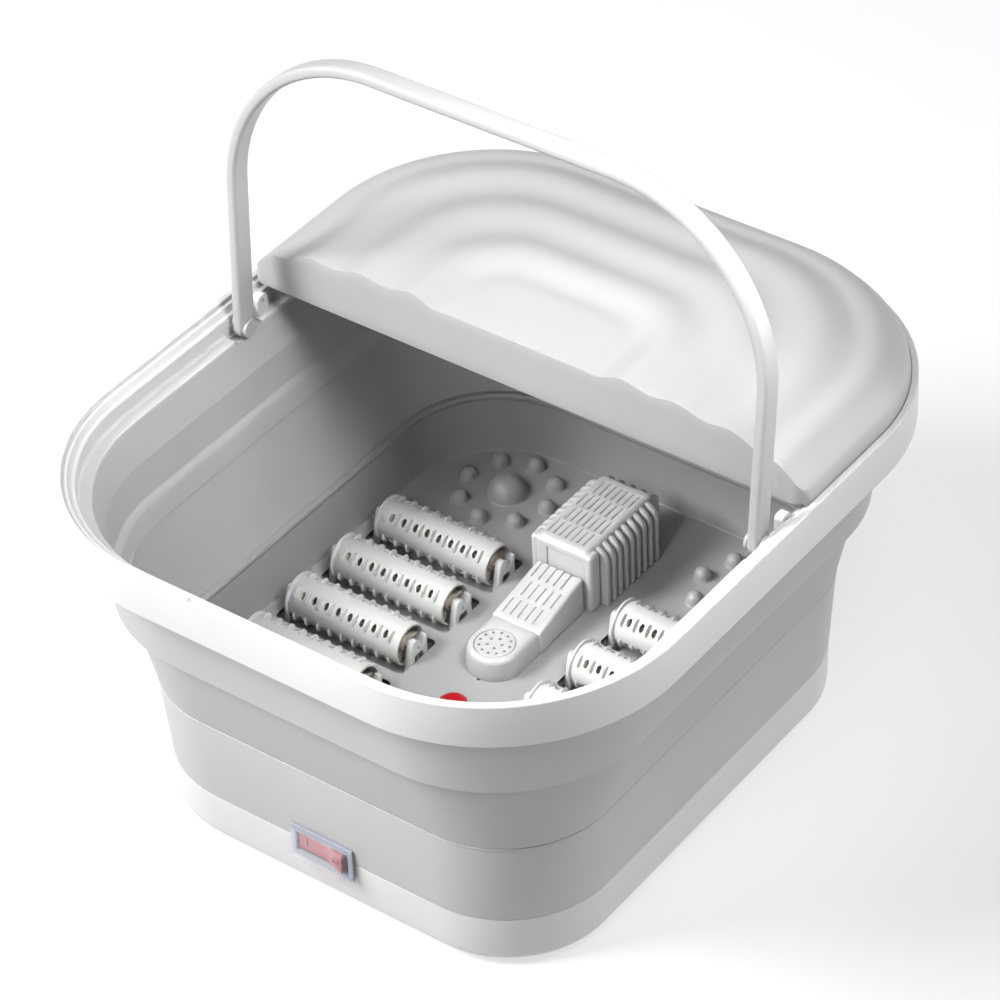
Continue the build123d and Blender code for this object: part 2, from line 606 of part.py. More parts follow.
def switch_bezel():
    flange = around_switch(SWITCH_WIDTH / 2, SWITCH_HEIGHT / 2, BEZEL_FRONT_Y, BEZEL_BACK_Y)
    flange = fillet(flange.edges().filter_by(Axis.Y), 1.5)
    flange = chamfer(flange.faces().sort_by(Axis.Y)[0].edges(), 0.6)
    sleeve = around_switch(SWITCH_WIDTH / 2 - 2.2, SWITCH_HEIGHT / 2 - 2.2, BEZEL_BACK_Y - 1, FRONT_Y + 10)
    return joined([flange, sleeve]) - around_switch(WINDOW_HALF_X, WINDOW_HALF_Z, BEZEL_FRONT_Y - 1, FRONT_Y + 11)


def switch_body():
    front = FRONT_Y + 10
    shape = around_switch(WINDOW_HALF_X + 1, WINDOW_HALF_Z + 1, front, front + SWITCH_BODY_DEPTH)
    return fillet(shape.edges().filter_by(Axis.Y), 1)


def switch_terminals():
    rear = FRONT_Y + 10 + SWITCH_BODY_DEPTH
    return [box((x - 0.4, rear, SWITCH_Z - 2.4), (x + 0.4, rear + 8, SWITCH_Z + 2.4)) for x in (-9, 0, 9)]


ROCKER_AXIS_Y = FRONT_Y + 4.0


def rocker():
    """Two-faced rocker that rocks about an upright axis, shown with one end pressed."""
    half_x = WINDOW_HALF_X - ROCKER_GAP - 1.0
    half_z = WINDOW_HALF_Z - ROCKER_GAP
    crown = -(ROCKER_DEPTH / 2 + 1.6)
    valley = Polyline((-half_x, crown - 0.9), (0, crown + 1.6), (half_x, crown - 0.9),
                      (half_x - 4, 3.4), (-half_x + 4, 3.4), close=True)
    body = extrude(Pos(0, 0, -half_z) * make_face(valley), 2 * half_z)
    ring = Pos(half_x - 5, crown, 0) * Rot(90, 0, 0) * (Cylinder(2.2, 2.4) - Cylinder(1.5, 3))
    bar = Pos(-half_x + 5, crown, 0) * Box(0.9, 2.4, 4.6)
    pivot = cylinder_z(1.6, -half_z - 0.3, half_z + 0.3, 0, 0)
    body = joined([body, ring, bar, pivot])
    return Pos(0, ROCKER_AXIS_Y, SWITCH_Z) * Rot(0, 0, -ROCKER_TILT) * body


def switch_boot():
    """Clear splash cover over the rocker."""
    outer = around_switch(WINDOW_HALF_X + 2, WINDOW_HALF_Z + 2.4, BEZEL_FRONT_Y - BOOT_DEPTH, BEZEL_FRONT_Y)
    outer = fillet(outer.faces().sort_by(Axis.Y)[0].edges(), 2.4)
    inner = around_switch(WINDOW_HALF_X + 2 - BOOT_WALL, WINDOW_HALF_Z + 2.4 - BOOT_WALL,
                          BEZEL_FRONT_Y - BOOT_DEPTH + BOOT_WALL, BEZEL_FRONT_Y)
    return outer - fillet(inner.faces().sort_by(Axis.Y)[0].edges(), 1.5)


# ---- inside the base --------------------------------------------------------------------------
def inlet_gland():
    rear_y = HOUSING_BOTTOM_X + LENGTH_EXTRA
    flange = cylinder_y(INLET_RADIUS, rear_y, rear_y + 3, 0, INLET_Z)
    flange = fillet(flange.edges().group_by(Axis.Y)[-1], 1)
    nose = cylinder_y(INLET_RADIUS - 2, rear_y + 2, rear_y + 8, 0, INLET_Z)
    thread = cylinder_y(INLET_THREAD_RADIUS - FIT_GAP, rear_y - 12, rear_y + 1, 0, INLET_Z)
    return joined([flange, nose, thread]) - cylinder_y(INLET_BORE, rear_y - 13, rear_y + 9, 0, INLET_Z)


def inlet_nut():
    rear_y = HOUSING_BOTTOM_X + LENGTH_EXTRA - BASE_WALL - 1.4
    nut = extrude(Plane.XZ * RegularPolygon(9, 6), 4)
    nut = Pos(0, rear_y, INLET_Z) * nut
    return nut - cylinder_y(INLET_THREAD_RADIUS - FIT_GAP, rear_y - 8, rear_y + 8, 0, INLET_Z)


HEATER_LOW = (-26.0, 52.0, 16.0)
HEATER_HIGH = (26.0, 116.0, 34.0)


def ptc_heater():
    """Heater block with cooling ribs, fixed under the tower."""
    block = box(HEATER_LOW, HEATER_HIGH)
    cuts = [box((x - 1.2, HEATER_LOW[1] - 1, HEATER_HIGH[2] - 7), (x + 1.2, HEATER_HIGH[1] + 1, HEATER_HIGH[2] + 1))
            for x in range(-20, 21, 5)]
    return block.cut(*cuts)


def thermostat():
    x = HEATER_HIGH[0]
    body = cylinder_x(8, x, x + 6, 84, 25)
    legs = [box((x + 6, 84 + y - 3, 24), (x + 12, 84 + y + 3, 25)) for y in (-4.5, 4.5)]
    return joined([body] + legs)


def air_pump():
    case = box((-34, 2, 12), (34, 40, 40))
    case = fillet(case.edges().filter_by(Axis.Z), 6)
    spout = cylinder_y(3.4, -8, 3, 0, 30)
    return joined([case, spout])


def pump_mounts():
    return [cylinder_z(5, BASE_FLOOR_Z + COVER_THICKNESS, 12, x, y) for x in (-26, 26) for y in (10, 32)]


def air_hose():
    """Short rubber hose from the pump's spout up to the port under the nozzle."""
    path = FilletPolyline((0, -8, 30), (0, -24, 30), (0, -24, 42), (0, NOSE_Y, 42), (0, NOSE_Y, TUB_UNDER_Z),
                          radius=4.8)
    section = Plane((0, -8, 30), x_dir=(1, 0, 0), z_dir=(0, -1, 0)) * (Circle(4.4) - Circle(2.8))
    return sweep(section, path)


def control_board():
    board = box((-60, -84, 14), (10, -44, 15.6))
    parts = [
        box((-54, -78, 15), (-38, -62, 30)),
        box((-32, -76, 15), (-20, -66, 26)),
        cylinder_z(5, 15, 30, -12, -70),
        cylinder_z(4, 15, 27, -28, -54),
        box((-10, -58, 15), (6, -50, 24)),
    ]
    return joined([board] + parts)


def board_posts():
    return [cylinder_z(2.6, BASE_FLOOR_Z + COVER_THICKNESS, 14, x, y) for x in (-56, 6) for y in (-80, -48)]


def terminal_block():
    block = box((-16, 124, BASE_FLOOR_Z), (16, 136, 20))
    return block.cut(*[cylinder_z(1.8, 14, 21, x, 130) for x in (-10, 0, 10)])


def wire(points, radius):
    path = FilletPolyline(*points, radius=radius)
    start = Vector(*points[0])
    heading = Vector(*points[1]) - start
    return sweep(Plane(start, z_dir=heading) * Circle(WIRE_RADIUS), path)


def wiring_harness():
    """Insulated leads that run low round the pump and heater."""
    blade_y = FRONT_Y + 10 + SWITCH_BODY_DEPTH + 8
    mains = wire([(16, 130, 12), (44, 110, 12), (44, -92, 12), (9, blade_y, SWITCH_Z)], 9)
    heat = wire([(-16, 130, 12), (-44, 110, 12), (-44, 0, 12), (-40, -44, 14.8)], 9)
    return [mains, heat]


# ---- rim --------------------------------------------------------------------------------------
def rim_level(half_x, z):
    return (half_x, RIM_CORNER - (RIM_HALF_X - half_x), z)


def rim_ring(outer_x, inner_x, z_low, z_high):
    outer = tapered([rim_level(outer_x, z_low), rim_level(outer_x, z_high)])
    return outer - tapered([rim_level(inner_x, z_low), rim_level(inner_x, z_high)])


def handle_pocket(side, z_low, z_high):
    x_low, x_high = sorted((side * (LEDGE_EDGE_X - 3), side * INNER_LIP_X))
    return box((x_low, -POCKET_FRONT, z_low), (x_high, POCKET_REAR, z_high))


def rim_frame():
    deck_low = RIM_TOP_Z - DECK_THICKNESS
    skirt = rim_ring(RIM_HALF_X, RIM_HALF_X - RIM_WALL, SKIRT_BOTTOM_Z, deck_low)
    deck = rim_ring(RIM_HALF_X, INNER_LIP_X, deck_low, RIM_TOP_Z)
    groove_outer = RIM_HALF_X - OUTER_LIP
    deck -= rim_ring(groove_outer, groove_outer - GROOVE_WIDTH, RIM_TOP_Z - GROOVE_DEPTH, RIM_TOP_Z)
    deck -= rim_ring(groove_outer, INNER_LIP_X, RIM_TOP_Z - INNER_LIP_DROP, RIM_TOP_Z)
    web = rim_ring(INNER_LIP_X + RIM_WALL, INNER_LIP_X, LEDGE_BOTTOM_Z, deck_low)
    ledge = rim_ring(INNER_LIP_X + RIM_WALL, LEDGE_EDGE_X, LEDGE_BOTTOM_Z, LEDGE_BOTTOM_Z + LEDGE_THICKNESS)
    frame = joined([skirt, deck, web, ledge])
    notch_y = RIM_HALF_X + LENGTH_EXTRA
    frame -= box((-NOTCH_WIDTH / 2, -notch_y - 1, RIM_TOP_Z - NOTCH_DEPTH),
                 (NOTCH_WIDTH / 2, -notch_y + OUTER_LIP, RIM_TOP_Z + 1))
    for side in (-1, 1):
        frame -= handle_pocket(side, LEDGE_BOTTOM_Z, RIM_TOP_Z + 1)
    return frame


def upper_wall():
    """Upper band of the wall: stepped inside, straight outside, up to the underside of the ledge."""
    step_z = FOLD_TOP_Z + 4 + PART_GAP
    chamfer_z = FOLD_TOP_Z + 16.7
    strip_z = FOLD_TOP_Z + 39.9
    outer = tapered([
        (UPPER_BOTTOM_X, UPPER_CORNER, FOLD_TOP_Z),
        (UPPER_TOP_X, UPPER_CORNER + 2, SKIRT_BOTTOM_Z - 7),
        (INNER_LIP_X, UPPER_CORNER + 4.5, LEDGE_BOTTOM_Z),
    ])
    rebate_x = FOLD_TOP_X + PART_GAP
    rebate = tapered([
        (rebate_x, UPPER_CORNER - 2.7, FOLD_TOP_Z),
        (rebate_x, UPPER_CORNER - 2.7, step_z),
    ])
    cavity = tapered([
        (FOLD_TOP_X - FOLD_WALL + PART_GAP, UPPER_CORNER - 5, step_z),
        (UPPER_BOTTOM_X - 0.9, UPPER_CORNER - 2, chamfer_z),
        (UPPER_TOP_X - UPPER_WALL - 0.4, UPPER_CORNER, strip_z),
        (LEDGE_EDGE_X, UPPER_CORNER + 0.8, LEDGE_BOTTOM_Z),
    ])
    return outer - rebate - cavity


def handle_pins():
    """Headed pins fixed in the rim, on which the handle's arms turn."""
    pins = []
    for side in (-1, 1):
        root = INNER_LIP_X + RIM_WALL - 0.5
        head = ARM_X - HANDLE_THICKNESS - PART_GAP
        shank = cylinder_x(PIN_RADIUS, side * root, side * head, 0, PIVOT_Z)
        cap = cylinder_x(PIN_CAP_RADIUS, side * head, side * (head - PIN_CAP_THICKNESS), 0, PIVOT_Z)
        collar = cylinder_x(PIN_CAP_RADIUS, side * INNER_LIP_X, side * (ARM_X + PART_GAP), 0, PIVOT_Z)
        pins.append(joined([shank, cap, collar]))
    return pins


def lid_clips():
    """Small snap posts on the ledge that steady the lid's front corners."""
    clips = []
    for side in (-1, 1):
        x_low, x_high = sorted((side * (LEDGE_EDGE_X - 0.6), side * INNER_LIP_X))
        z_low = LEDGE_BOTTOM_Z + LEDGE_THICKNESS
        post = box((x_low, LID_FRONT_Y - 9, z_low), (x_high, LID_FRONT_Y - 0.6, z_low + 12.5))
        post = fillet(post.edges().filter_by(Axis.X).group_by(Axis.Z)[-1], 3)
        clips.append(post - cylinder_x(1.6, x_low - 1, x_high + 1, LID_FRONT_Y - 4.8, z_low + 8.5))
    return clips


# ---- handle -----------------------------------------------------------------------------------
def handle():
    """Arch of strap on two arms, leaning back on its pins."""
    shoulder_z = HANDLE_RISE - HANDLE_CORNER

    def arch(inset):
        corner = HANDLE_CORNER - inset
        right = SHOULDER_X - inset
        top = HANDLE_RISE - inset
        mid = math.sqrt(0.5) * corner
        centre_x = right - corner
        left_arm = Line((-(ARM_X - inset), 0), (-right, shoulder_z))
        left_bend = ThreePointArc((-right, shoulder_z), (-centre_x - mid, shoulder_z + mid), (-centre_x, top))
        across = Line((-centre_x, top), (centre_x, top))
        right_bend = ThreePointArc((centre_x, top), (centre_x + mid, shoulder_z + mid), (right, shoulder_z))
        right_arm = Line((right, shoulder_z), (ARM_X - inset, 0))
        closing = Line((ARM_X - inset, 0), (-(ARM_X - inset), 0))
        return make_face(Wire([left_arm, left_bend, across, right_bend, right_arm, closing]))

    strap = extrude(Plane.XZ * (arch(0) - arch(HANDLE_THICKNESS)), HANDLE_WIDTH / 2, both=True)
    long_edges = strap.edges().filter_by(lambda edge: edge.center().Z > 1)
    long_edges = long_edges.filter_by(lambda edge: abs(abs(edge.center().Y) - HANDLE_WIDTH / 2) < 0.01)
    strap = fillet(long_edges, HANDLE_EDGE_ROUND)
    pieces = [strap]
    for side in (-1, 1):
        outer = side * ARM_X
        inner = side * (ARM_X - HANDLE_THICKNESS)
        pieces.append(cylinder_x(HANDLE_WIDTH / 2, outer, inner, 0, 0))
    solid = joined(pieces)
    solid -= cylinder_x(PIN_RADIUS + RUNNING_GAP, -RIM_HALF_X, RIM_HALF_X, 0, 0)
    return Pos(0, 0, PIVOT_Z) * Rot(-HANDLE_LEAN, 0, 0) * solid


# ---- lid --------------------------------------------------------------------------------------
def lid():
    """Splash lid over the rear half: domed shell with an upright front wall."""
    edge_x = RIM_HALF_X - OUTER_LIP - PART_GAP
    low_z = RIM_TOP_Z - GROOVE_DEPTH + PART_GAP
    top_z = RIM_TOP_Z + LID_RISE
    profile = [(0, 0), (0.6, 9), (3.5, 17.5), (LID_SHOULDER, 23.5), (26, 28), (60, 33), (85, 36)]
    rise = (top_z - low_z) / profile[-1][1]
    levels = [rim_level(edge_x - inset, low_z + height * rise) for inset, height in profile]
    rear = box((-RIM_HALF_X, LID_FRONT_Y, low_z - 1), (RIM_HALF_X, 2 * RIM_HALF_X, top_z + 1))
    outer = tapered(levels) & rear
    inner_levels = [(x - LID_WALL, r - LID_WALL, z - (0 if z == low_z else LID_WALL)) for x, r, z in levels]
    hollow = tapered(inner_levels) & box((-RIM_HALF_X, LID_FRONT_Y + LID_WALL, low_z - 1),
                                         (RIM_HALF_X, 2 * RIM_HALF_X, top_z + 1))
    shell = outer - hollow
    groove_inner = RIM_HALF_X - OUTER_LIP - GROOVE_WIDTH
    front_gap = box((-groove_inner - PART_GAP, LID_FRONT_Y - 1, low_z - 1),
                    (groove_inner + PART_GAP, LID_FRONT_Y + LID_WALL + 1, RIM_TOP_Z + PART_GAP))
    return shell - front_gap


# ---- write every node -------------------------------------------------------------------------
def placed_roller(shape, side, y):
    return Pos(side * ROLLER_CENTRE_X, y, ROLLER_AXIS_Z) * shape


def nodes():
    made = {
        "base_shell": base_shell(),
        "bottom_cover": bottom_cover(),
        "body_screws": body_screws(),
        "cover_screws": cover_screws(),
        "rubber_feet": rubber_feet(),
        "mid_housing": mid_housing(),
        "clamp_ring": clamp_ring(),
        "fold_wall": fold_wall(),
        "tub": tub(),
        "roller_clips_left": roller_clips(-1),
        "roller_clips_right": roller_clips(1),
        "nozzle_cover": nozzle_cover(),
        "air_grille": air_grille(),
        "ramp_cover": ramp_cover(),
        "heater_tower": heater_tower(),
        "lamp_lens": lamp_lens(),
        "lamp_gasket": lamp_gasket(),
        "lamp_board": lamp_board(),
        "switch_bezel": switch_bezel(),
        "switch_body": switch_body(),
        "switch_terminals": switch_terminals(),
        "switch_boot": switch_boot(),
        "rocker": rocker(),
        "inlet_gland": inlet_gland(),
        "inlet_nut": inlet_nut(),
        "ptc_heater": ptc_heater(),
        "thermostat": thermostat(),
        "air_pump": air_pump(),
        "pump_mounts": pump_mounts(),
        "air_hose": air_hose(),
        "control_board": control_board(),
        "board_posts": board_posts(),
        "terminal_block": terminal_block(),
        "wiring_harness": wiring_harness(),
        "rim_frame": rim_frame(),
        "upper_wall": upper_wall(),
        "handle_pins": handle_pins(),
        "lid_clips": lid_clips(),
        "handle": handle(),
        "lid": lid(),
    }
    tube_shape = roller_tube()
    axle_shape = roller_axle()
    for side, word in ((-1, "left"), (1, "right")):
        for row, y in enumerate(ROLLER_ROW_Y, start=1):
            made[f"roller_{word}_{row}"] = placed_roller(tube_shape, side, y)
            made[f"roller_axle_{word}_{row}"] = placed_roller(axle_shape, side, y)
    return made


os.makedirs("parts", exist_ok=True)
for name, shape in nodes().items():
    solids = [solid for item in (shape if isinstance(shape, list) else [shape]) for solid in item.solids()]
    export_step(Compound(children=solids) if len(solids) > 1 else solids[0], f"parts/{name}.step")
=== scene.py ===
import math

import bmesh
import bpy
from mathutils import Matrix, Vector


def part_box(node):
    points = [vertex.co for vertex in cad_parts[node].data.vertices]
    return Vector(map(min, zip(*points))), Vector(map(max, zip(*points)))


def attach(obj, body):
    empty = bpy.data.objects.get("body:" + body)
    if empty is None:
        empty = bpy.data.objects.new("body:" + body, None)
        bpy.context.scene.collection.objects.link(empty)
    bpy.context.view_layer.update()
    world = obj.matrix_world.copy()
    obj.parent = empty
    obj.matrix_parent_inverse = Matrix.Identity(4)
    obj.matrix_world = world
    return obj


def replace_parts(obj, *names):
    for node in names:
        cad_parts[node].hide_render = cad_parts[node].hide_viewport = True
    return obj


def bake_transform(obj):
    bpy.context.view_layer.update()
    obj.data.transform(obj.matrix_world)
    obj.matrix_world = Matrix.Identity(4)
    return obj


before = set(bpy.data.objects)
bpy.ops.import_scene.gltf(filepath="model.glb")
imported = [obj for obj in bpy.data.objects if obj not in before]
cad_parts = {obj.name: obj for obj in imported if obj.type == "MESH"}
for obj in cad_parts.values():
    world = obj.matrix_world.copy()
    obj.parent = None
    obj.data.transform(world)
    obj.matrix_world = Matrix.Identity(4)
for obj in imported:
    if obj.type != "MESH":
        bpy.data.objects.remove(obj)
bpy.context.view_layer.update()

# Foot spa basin. Lengths are in millimetres until a mesh is finished; X is across, the switch faces -Y.
MM = 0.001


def low(node):
    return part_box(node)[0] / MM


def high(node):
    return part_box(node)[1] / MM


# ---- places taken from the frame --------------------------------------------------------------
RIM_X = high("rim_frame").x
EXTRA = high("rim_frame").y - RIM_X          # every outline is this much longer than wide, on each side
RIM_TOP = high("rim_frame").z
SKIRT_LOW = low("rim_frame").z
LEDGE_LOW = high("upper_wall").z
UPPER_LOW = low("upper_wall").z
FOLD_HIGH = high("fold_wall").z
FOLD_X = high("fold_wall").x
FOLD_LOW = low("fold_wall").z
CLAMP_X = high("clamp_ring").x
CLAMP_LOW = low("clamp_ring").z
HOUSING_X = high("mid_housing").x
BASE_TOP_X = high("base_shell").x
BASE_TOP = low("mid_housing").z
BASE_LOW = low("base_shell").z
TUB_TOP = high("tub").z
FLOOR = low("lamp_gasket").z
LID_X = high("lid").x
LID_LOW = low("lid").z
LID_FRONT = low("lid").y
PIVOT = (high("handle_pins") + low("handle_pins")) / 2

# ---- design dimensions ------------------------------------------------------------------------
RIM_CORNER = 108.0
UPPER_CORNER = 93.0
FOLD_CORNER = 90.0
HOUSING_CORNER = 63.0
BASE_CORNER = 59.0
ARC_STEPS = 20
SIDE_STEPS = 8
ALONG_X = Matrix.Rotation(math.pi / 2, 4, "Y")     # turns a cylinder from Z onto X


# ---- meshes -----------------------------------------------------------------------------------
def outline(half_x, half_y, corner, z):
    """Points of a rounded rectangle, anticlockwise from the middle of its right side."""
    points = []
    for quarter in range(4):
        turn = Matrix.Rotation(math.pi / 2 * quarter, 3, "Z")
        along, across = (half_x, half_y) if quarter % 2 == 0 else (half_y, half_x)
        straight = across - corner
        for step in range(SIDE_STEPS):
            points.append(turn @ Vector((along, straight * step / SIDE_STEPS, z)))
        for step in range(ARC_STEPS + 1):
            angle = math.pi / 2 * step / ARC_STEPS
            spot = (along - corner + corner * math.cos(angle), straight + corner * math.sin(angle), z)
            points.append(turn @ Vector(spot))
        for step in range(SIDE_STEPS - 1, 0, -1):
            points.append(turn @ Vector(((along - corner) * step / SIDE_STEPS, across, z)))
    return points


def family(half_x, corner, z, rounding=0.0):
    """Profile point whose outline belongs to the basin's family."""
    return (half_x, half_x + EXTRA, corner, z, rounding)


def softened(profile, steps=4):
    """A closed profile with its corners rounded; each point's last number is its rounding."""
    made = []
    for index, point in enumerate(profile):
        here = Vector(point[:4])
        rounding = point[4]
        if rounding == 0:
            made.append(here)
            continue
        ends = []
        for other in (profile[index - 1], profile[(index + 1) % len(profile)]):
            there = Vector(other[:4])
            span = math.hypot(there[0] - here[0], there[3] - here[3])
            ends.append(here.lerp(there, min(rounding / span, 0.48)))
        for step in range(steps + 1):
            t = step / steps
            made.append(ends[0] * (1 - t) ** 2 + here * (2 * t * (1 - t)) + ends[1] * t ** 2)
    return made


def bridge(bm, ring_a, ring_b):
    for i in range(len(ring_a)):
        bm.faces.new((ring_a[i - 1], ring_a[i], ring_b[i], ring_b[i - 1]))


def ring_shell(profile):
    """Closed shell swept round the basin through the profile's outlines."""
    bm = bmesh.new()
    rings = [[bm.verts.new(spot) for spot in outline(*level)] for level in softened(profile)]
    for index in range(len(rings)):
        bridge(bm, rings[index - 1], rings[index])
    bmesh.ops.recalc_face_normals(bm, faces=bm.faces)
    return bm


def mesh_object(name, bm, smooth_angle=35.0):
    """The bmesh, in millimetres, as an object in metres."""
    bmesh.ops.scale(bm, vec=(MM, MM, MM), verts=bm.verts)
    mesh = bpy.data.meshes.new(name)
    bm.to_mesh(mesh)
    bm.free()
    for polygon in mesh.polygons:
        polygon.use_smooth = True
    mesh.set_sharp_from_angle(angle=math.radians(smooth_angle))
    made = bpy.data.objects.new(name, mesh)
    bpy.context.scene.collection.objects.link(made)
    return made


def apply_modifiers(made, smooth_angle=35.0):
    """Replaces the object's mesh with what its modifiers make of it."""
    graph = bpy.context.evaluated_depsgraph_get()
    mesh = bpy.data.meshes.new_from_object(made.evaluated_get(graph))
    made.modifiers.clear()
    made.data = mesh
    for polygon in mesh.polygons:
        polygon.use_smooth = True
    mesh.set_sharp_from_angle(angle=math.radians(smooth_angle))
    return made


def combine(made, tool_bm, operation="DIFFERENCE"):
    """Cuts the tool out of the object, or joins it on."""
    tool = mesh_object("tool", tool_bm)
    modifier = made.modifiers.new("combine", "BOOLEAN")
    modifier.operation = operation
    modifier.solver = "EXACT"
    modifier.object = tool
    apply_modifiers(made)
    bpy.data.objects.remove(tool)
    return made


def bevelled(made, width, segments=3, angle=40.0):
    modifier = made.modifiers.new("soft_edges", "BEVEL")
    modifier.width = width * MM
    modifier.segments = segments
    modifier.limit_method = "ANGLE"
    modifier.angle_limit = math.radians(angle)
    modifier.use_clamp_overlap = True
    return apply_modifiers(made)


def add_box(bm, low_corner, high_corner):
    centre = (Vector(low_corner) + Vector(high_corner)) / 2
    size = Vector(high_corner) - Vector(low_corner)
    place = Matrix.Translation(centre) @ Matrix.Diagonal((*size, 1))
    return bmesh.ops.create_cube(bm, size=1, matrix=place)["verts"]


def add_cylinder(bm, radius, low_z, high_z, x, y, segments=48, top_radius=None):
    place = Matrix.Translation((x, y, (low_z + high_z) / 2))
    bmesh.ops.create_cone(bm, cap_ends=True, segments=segments, radius1=radius,
                          radius2=radius if top_radius is None else top_radius,
                          depth=high_z - low_z, matrix=place)


def add_rounded_block(bm, half_x, half_y, corner, levels, centre=(0, 0)):
    """Closed block through rounded rectangles; levels are (inset, z), from the bottom to the top."""
    rings = []
    for inset, z in levels:
        spots = outline(half_x - inset, half_y - inset, max(corner - inset, 0.05), z)
        rings.append([bm.verts.new(spot + Vector((*centre, 0))) for spot in spots])
    for ring_a, ring_b in zip(rings, rings[1:]):
        bridge(bm, ring_a, ring_b)
    bm.faces.new(rings[0][::-1])
    bm.faces.new(rings[-1])
    bmesh.ops.recalc_face_normals(bm, faces=bm.faces)


def add_turned(bm, profile, x, y, segments=40):
    """Solid turned about an upright axis; the profile is (radius, z) from the bottom to the top."""
    rings = []
    for radius, z in profile:
        ring = []
        for step in range(segments):
            angle = 2 * math.pi * step / segments
            ring.append(bm.verts.new((x + radius * math.cos(angle), y + radius * math.sin(angle), z)))
        rings.append(ring)
    for ring_a, ring_b in zip(rings, rings[1:]):
        bridge(bm, ring_a, ring_b)
    bm.faces.new(rings[0][::-1])
    bm.faces.new(rings[-1])


def placed(made, body, material, slot, *nodes):
    made.data.materials.clear()
    made.data.materials.append(material)
    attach(made, body)
    if nodes:
        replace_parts(made, *nodes)
    return made


# ---- materials --------------------------------------------------------------------------------
def plastic(name, colour, roughness, grain=0.05, grain_scale=900.0, mottling=0.03, clear=0.0,
            transmission=0.0, alpha=1.0, specular=0.5):
    """Moulded plastic: fine surface grain, slow flow marks and a slightly uneven gloss."""
    material = bpy.data.materials.new(name)
    material.use_nodes = True
    nodes = material.node_tree.nodes
    links = material.node_tree.links
    shader = nodes["Principled BSDF"]
    shader.inputs["Coat Weight"].default_value = clear
    shader.inputs["Coat Roughness"].default_value = 0.15
    shader.inputs["Transmission Weight"].default_value = transmission
    shader.inputs["Specular IOR Level"].default_value = specular
    shader.inputs["Alpha"].default_value = alpha
    place = nodes.new("ShaderNodeTexCoord")

    flow = nodes.new("ShaderNodeTexNoise")
    flow.inputs["Scale"].default_value = 14.0
    flow.inputs["Detail"].default_value = 3.0
    links.new(place.outputs["Object"], flow.inputs["Vector"])
    shade = nodes.new("ShaderNodeValToRGB")
    shade.color_ramp.interpolation = "EASE"
    shade.color_ramp.elements[0].position = 0.3
    shade.color_ramp.elements[1].position = 0.7
    shade.color_ramp.elements[0].color = (*[c * (1 - mottling) for c in colour], 1)
    shade.color_ramp.elements[1].color = (*[min(1.0, c * (1 + mottling)) for c in colour], 1)
    links.new(flow.outputs["Fac"], shade.inputs["Fac"])
    links.new(shade.outputs["Color"], shader.inputs["Base Color"])

    gloss = nodes.new("ShaderNodeMapRange")
    gloss.inputs["To Min"].default_value = roughness * 0.88
    gloss.inputs["To Max"].default_value = min(1.0, roughness * 1.12)
    links.new(flow.outputs["Fac"], gloss.inputs["Value"])
    links.new(gloss.outputs["Result"], shader.inputs["Roughness"])

    fine = nodes.new("ShaderNodeTexNoise")
    fine.inputs["Scale"].default_value = grain_scale
    fine.inputs["Detail"].default_value = 2.0
    links.new(place.outputs["Object"], fine.inputs["Vector"])
    bump = nodes.new("ShaderNodeBump")
    bump.inputs["Strength"].default_value = grain
    bump.inputs["Distance"].default_value = 0.0002
    links.new(fine.outputs["Fac"], bump.inputs["Height"])
    links.new(bump.outputs["Normal"], shader.inputs["Normal"])
    return material


def brushed_metal(name, colour, roughness):
    """Turned or drawn metal: fine streaks along X in its gloss and relief."""
    material = bpy.data.materials.new(name)
    material.use_nodes = True
    nodes = material.node_tree.nodes
    links = material.node_tree.links
    shader = nodes["Principled BSDF"]
    shader.inputs["Metallic"].default_value = 1.0
    shader.inputs["Base Color"].default_value = (*colour, 1)
    place = nodes.new("ShaderNodeTexCoord")
    stretch = nodes.new("ShaderNodeMapping")
    stretch.inputs["Scale"].default_value = (40.0, 900.0, 900.0)
    links.new(place.outputs["Object"], stretch.inputs["Vector"])
    streaks = nodes.new("ShaderNodeTexNoise")
    streaks.inputs["Scale"].default_value = 3.0
    links.new(stretch.outputs["Vector"], streaks.inputs["Vector"])
    gloss = nodes.new("ShaderNodeMapRange")
    gloss.inputs["To Min"].default_value = roughness * 0.7
    gloss.inputs["To Max"].default_value = roughness * 1.3
    links.new(streaks.outputs["Fac"], gloss.inputs["Value"])
    links.new(gloss.outputs["Result"], shader.inputs["Roughness"])
    bump = nodes.new("ShaderNodeBump")
    bump.inputs["Strength"].default_value = 0.15
    bump.inputs["Distance"].default_value = 0.0001
    links.new(streaks.outputs["Fac"], bump.inputs["Height"])
    links.new(bump.outputs["Normal"], shader.inputs["Normal"])
    return material


WHITE = plastic("white_gloss", (0.49, 0.49, 0.49), 0.34, grain=0.03, mottling=0.012)
HANDLE = plastic("handle_satin", (0.345, 0.345, 0.345), 0.34, grain=0.03, mottling=0.015)
LID = plastic("lid_satin", (0.325, 0.325, 0.325), 0.42, grain=0.03, mottling=0.012)
GREY = plastic("wall_grey", (0.35, 0.35, 0.35), 0.42, grain=0.05, mottling=0.02)
SOFT_GREY = plastic("fold_grey", (0.32, 0.32, 0.32), 0.50, grain=0.08, grain_scale=1400.0, mottling=0.02)
TUB_GREY = plastic("tub_grey", (0.29, 0.29, 0.29), 0.38, grain=0.04, mottling=0.02)
MODULE = plastic("module_grey", (0.41, 0.41, 0.41), 0.36, grain=0.05, mottling=0.02)
ROLLER = plastic("roller_white", (0.47, 0.47, 0.465), 0.34, grain=0.04, mottling=0.02)
# Hub colour: partly the hub's own warm beige, partly painted shade; it is darker than the roller plastic to stand
# for the shadow inside the tube.
HUB_BEIGE_AND_SHADE = plastic("hub_beige_and_painted_shade", (0.42, 0.37, 0.32), 0.45, grain=0.06)
LENS = plastic("lamp_red", (0.35, 0.006, 0.012), 0.12, grain=0.01, clear=0.6)
BEZEL = plastic("bezel_cloudy", (0.27, 0.29, 0.34), 0.30, grain=0.02)
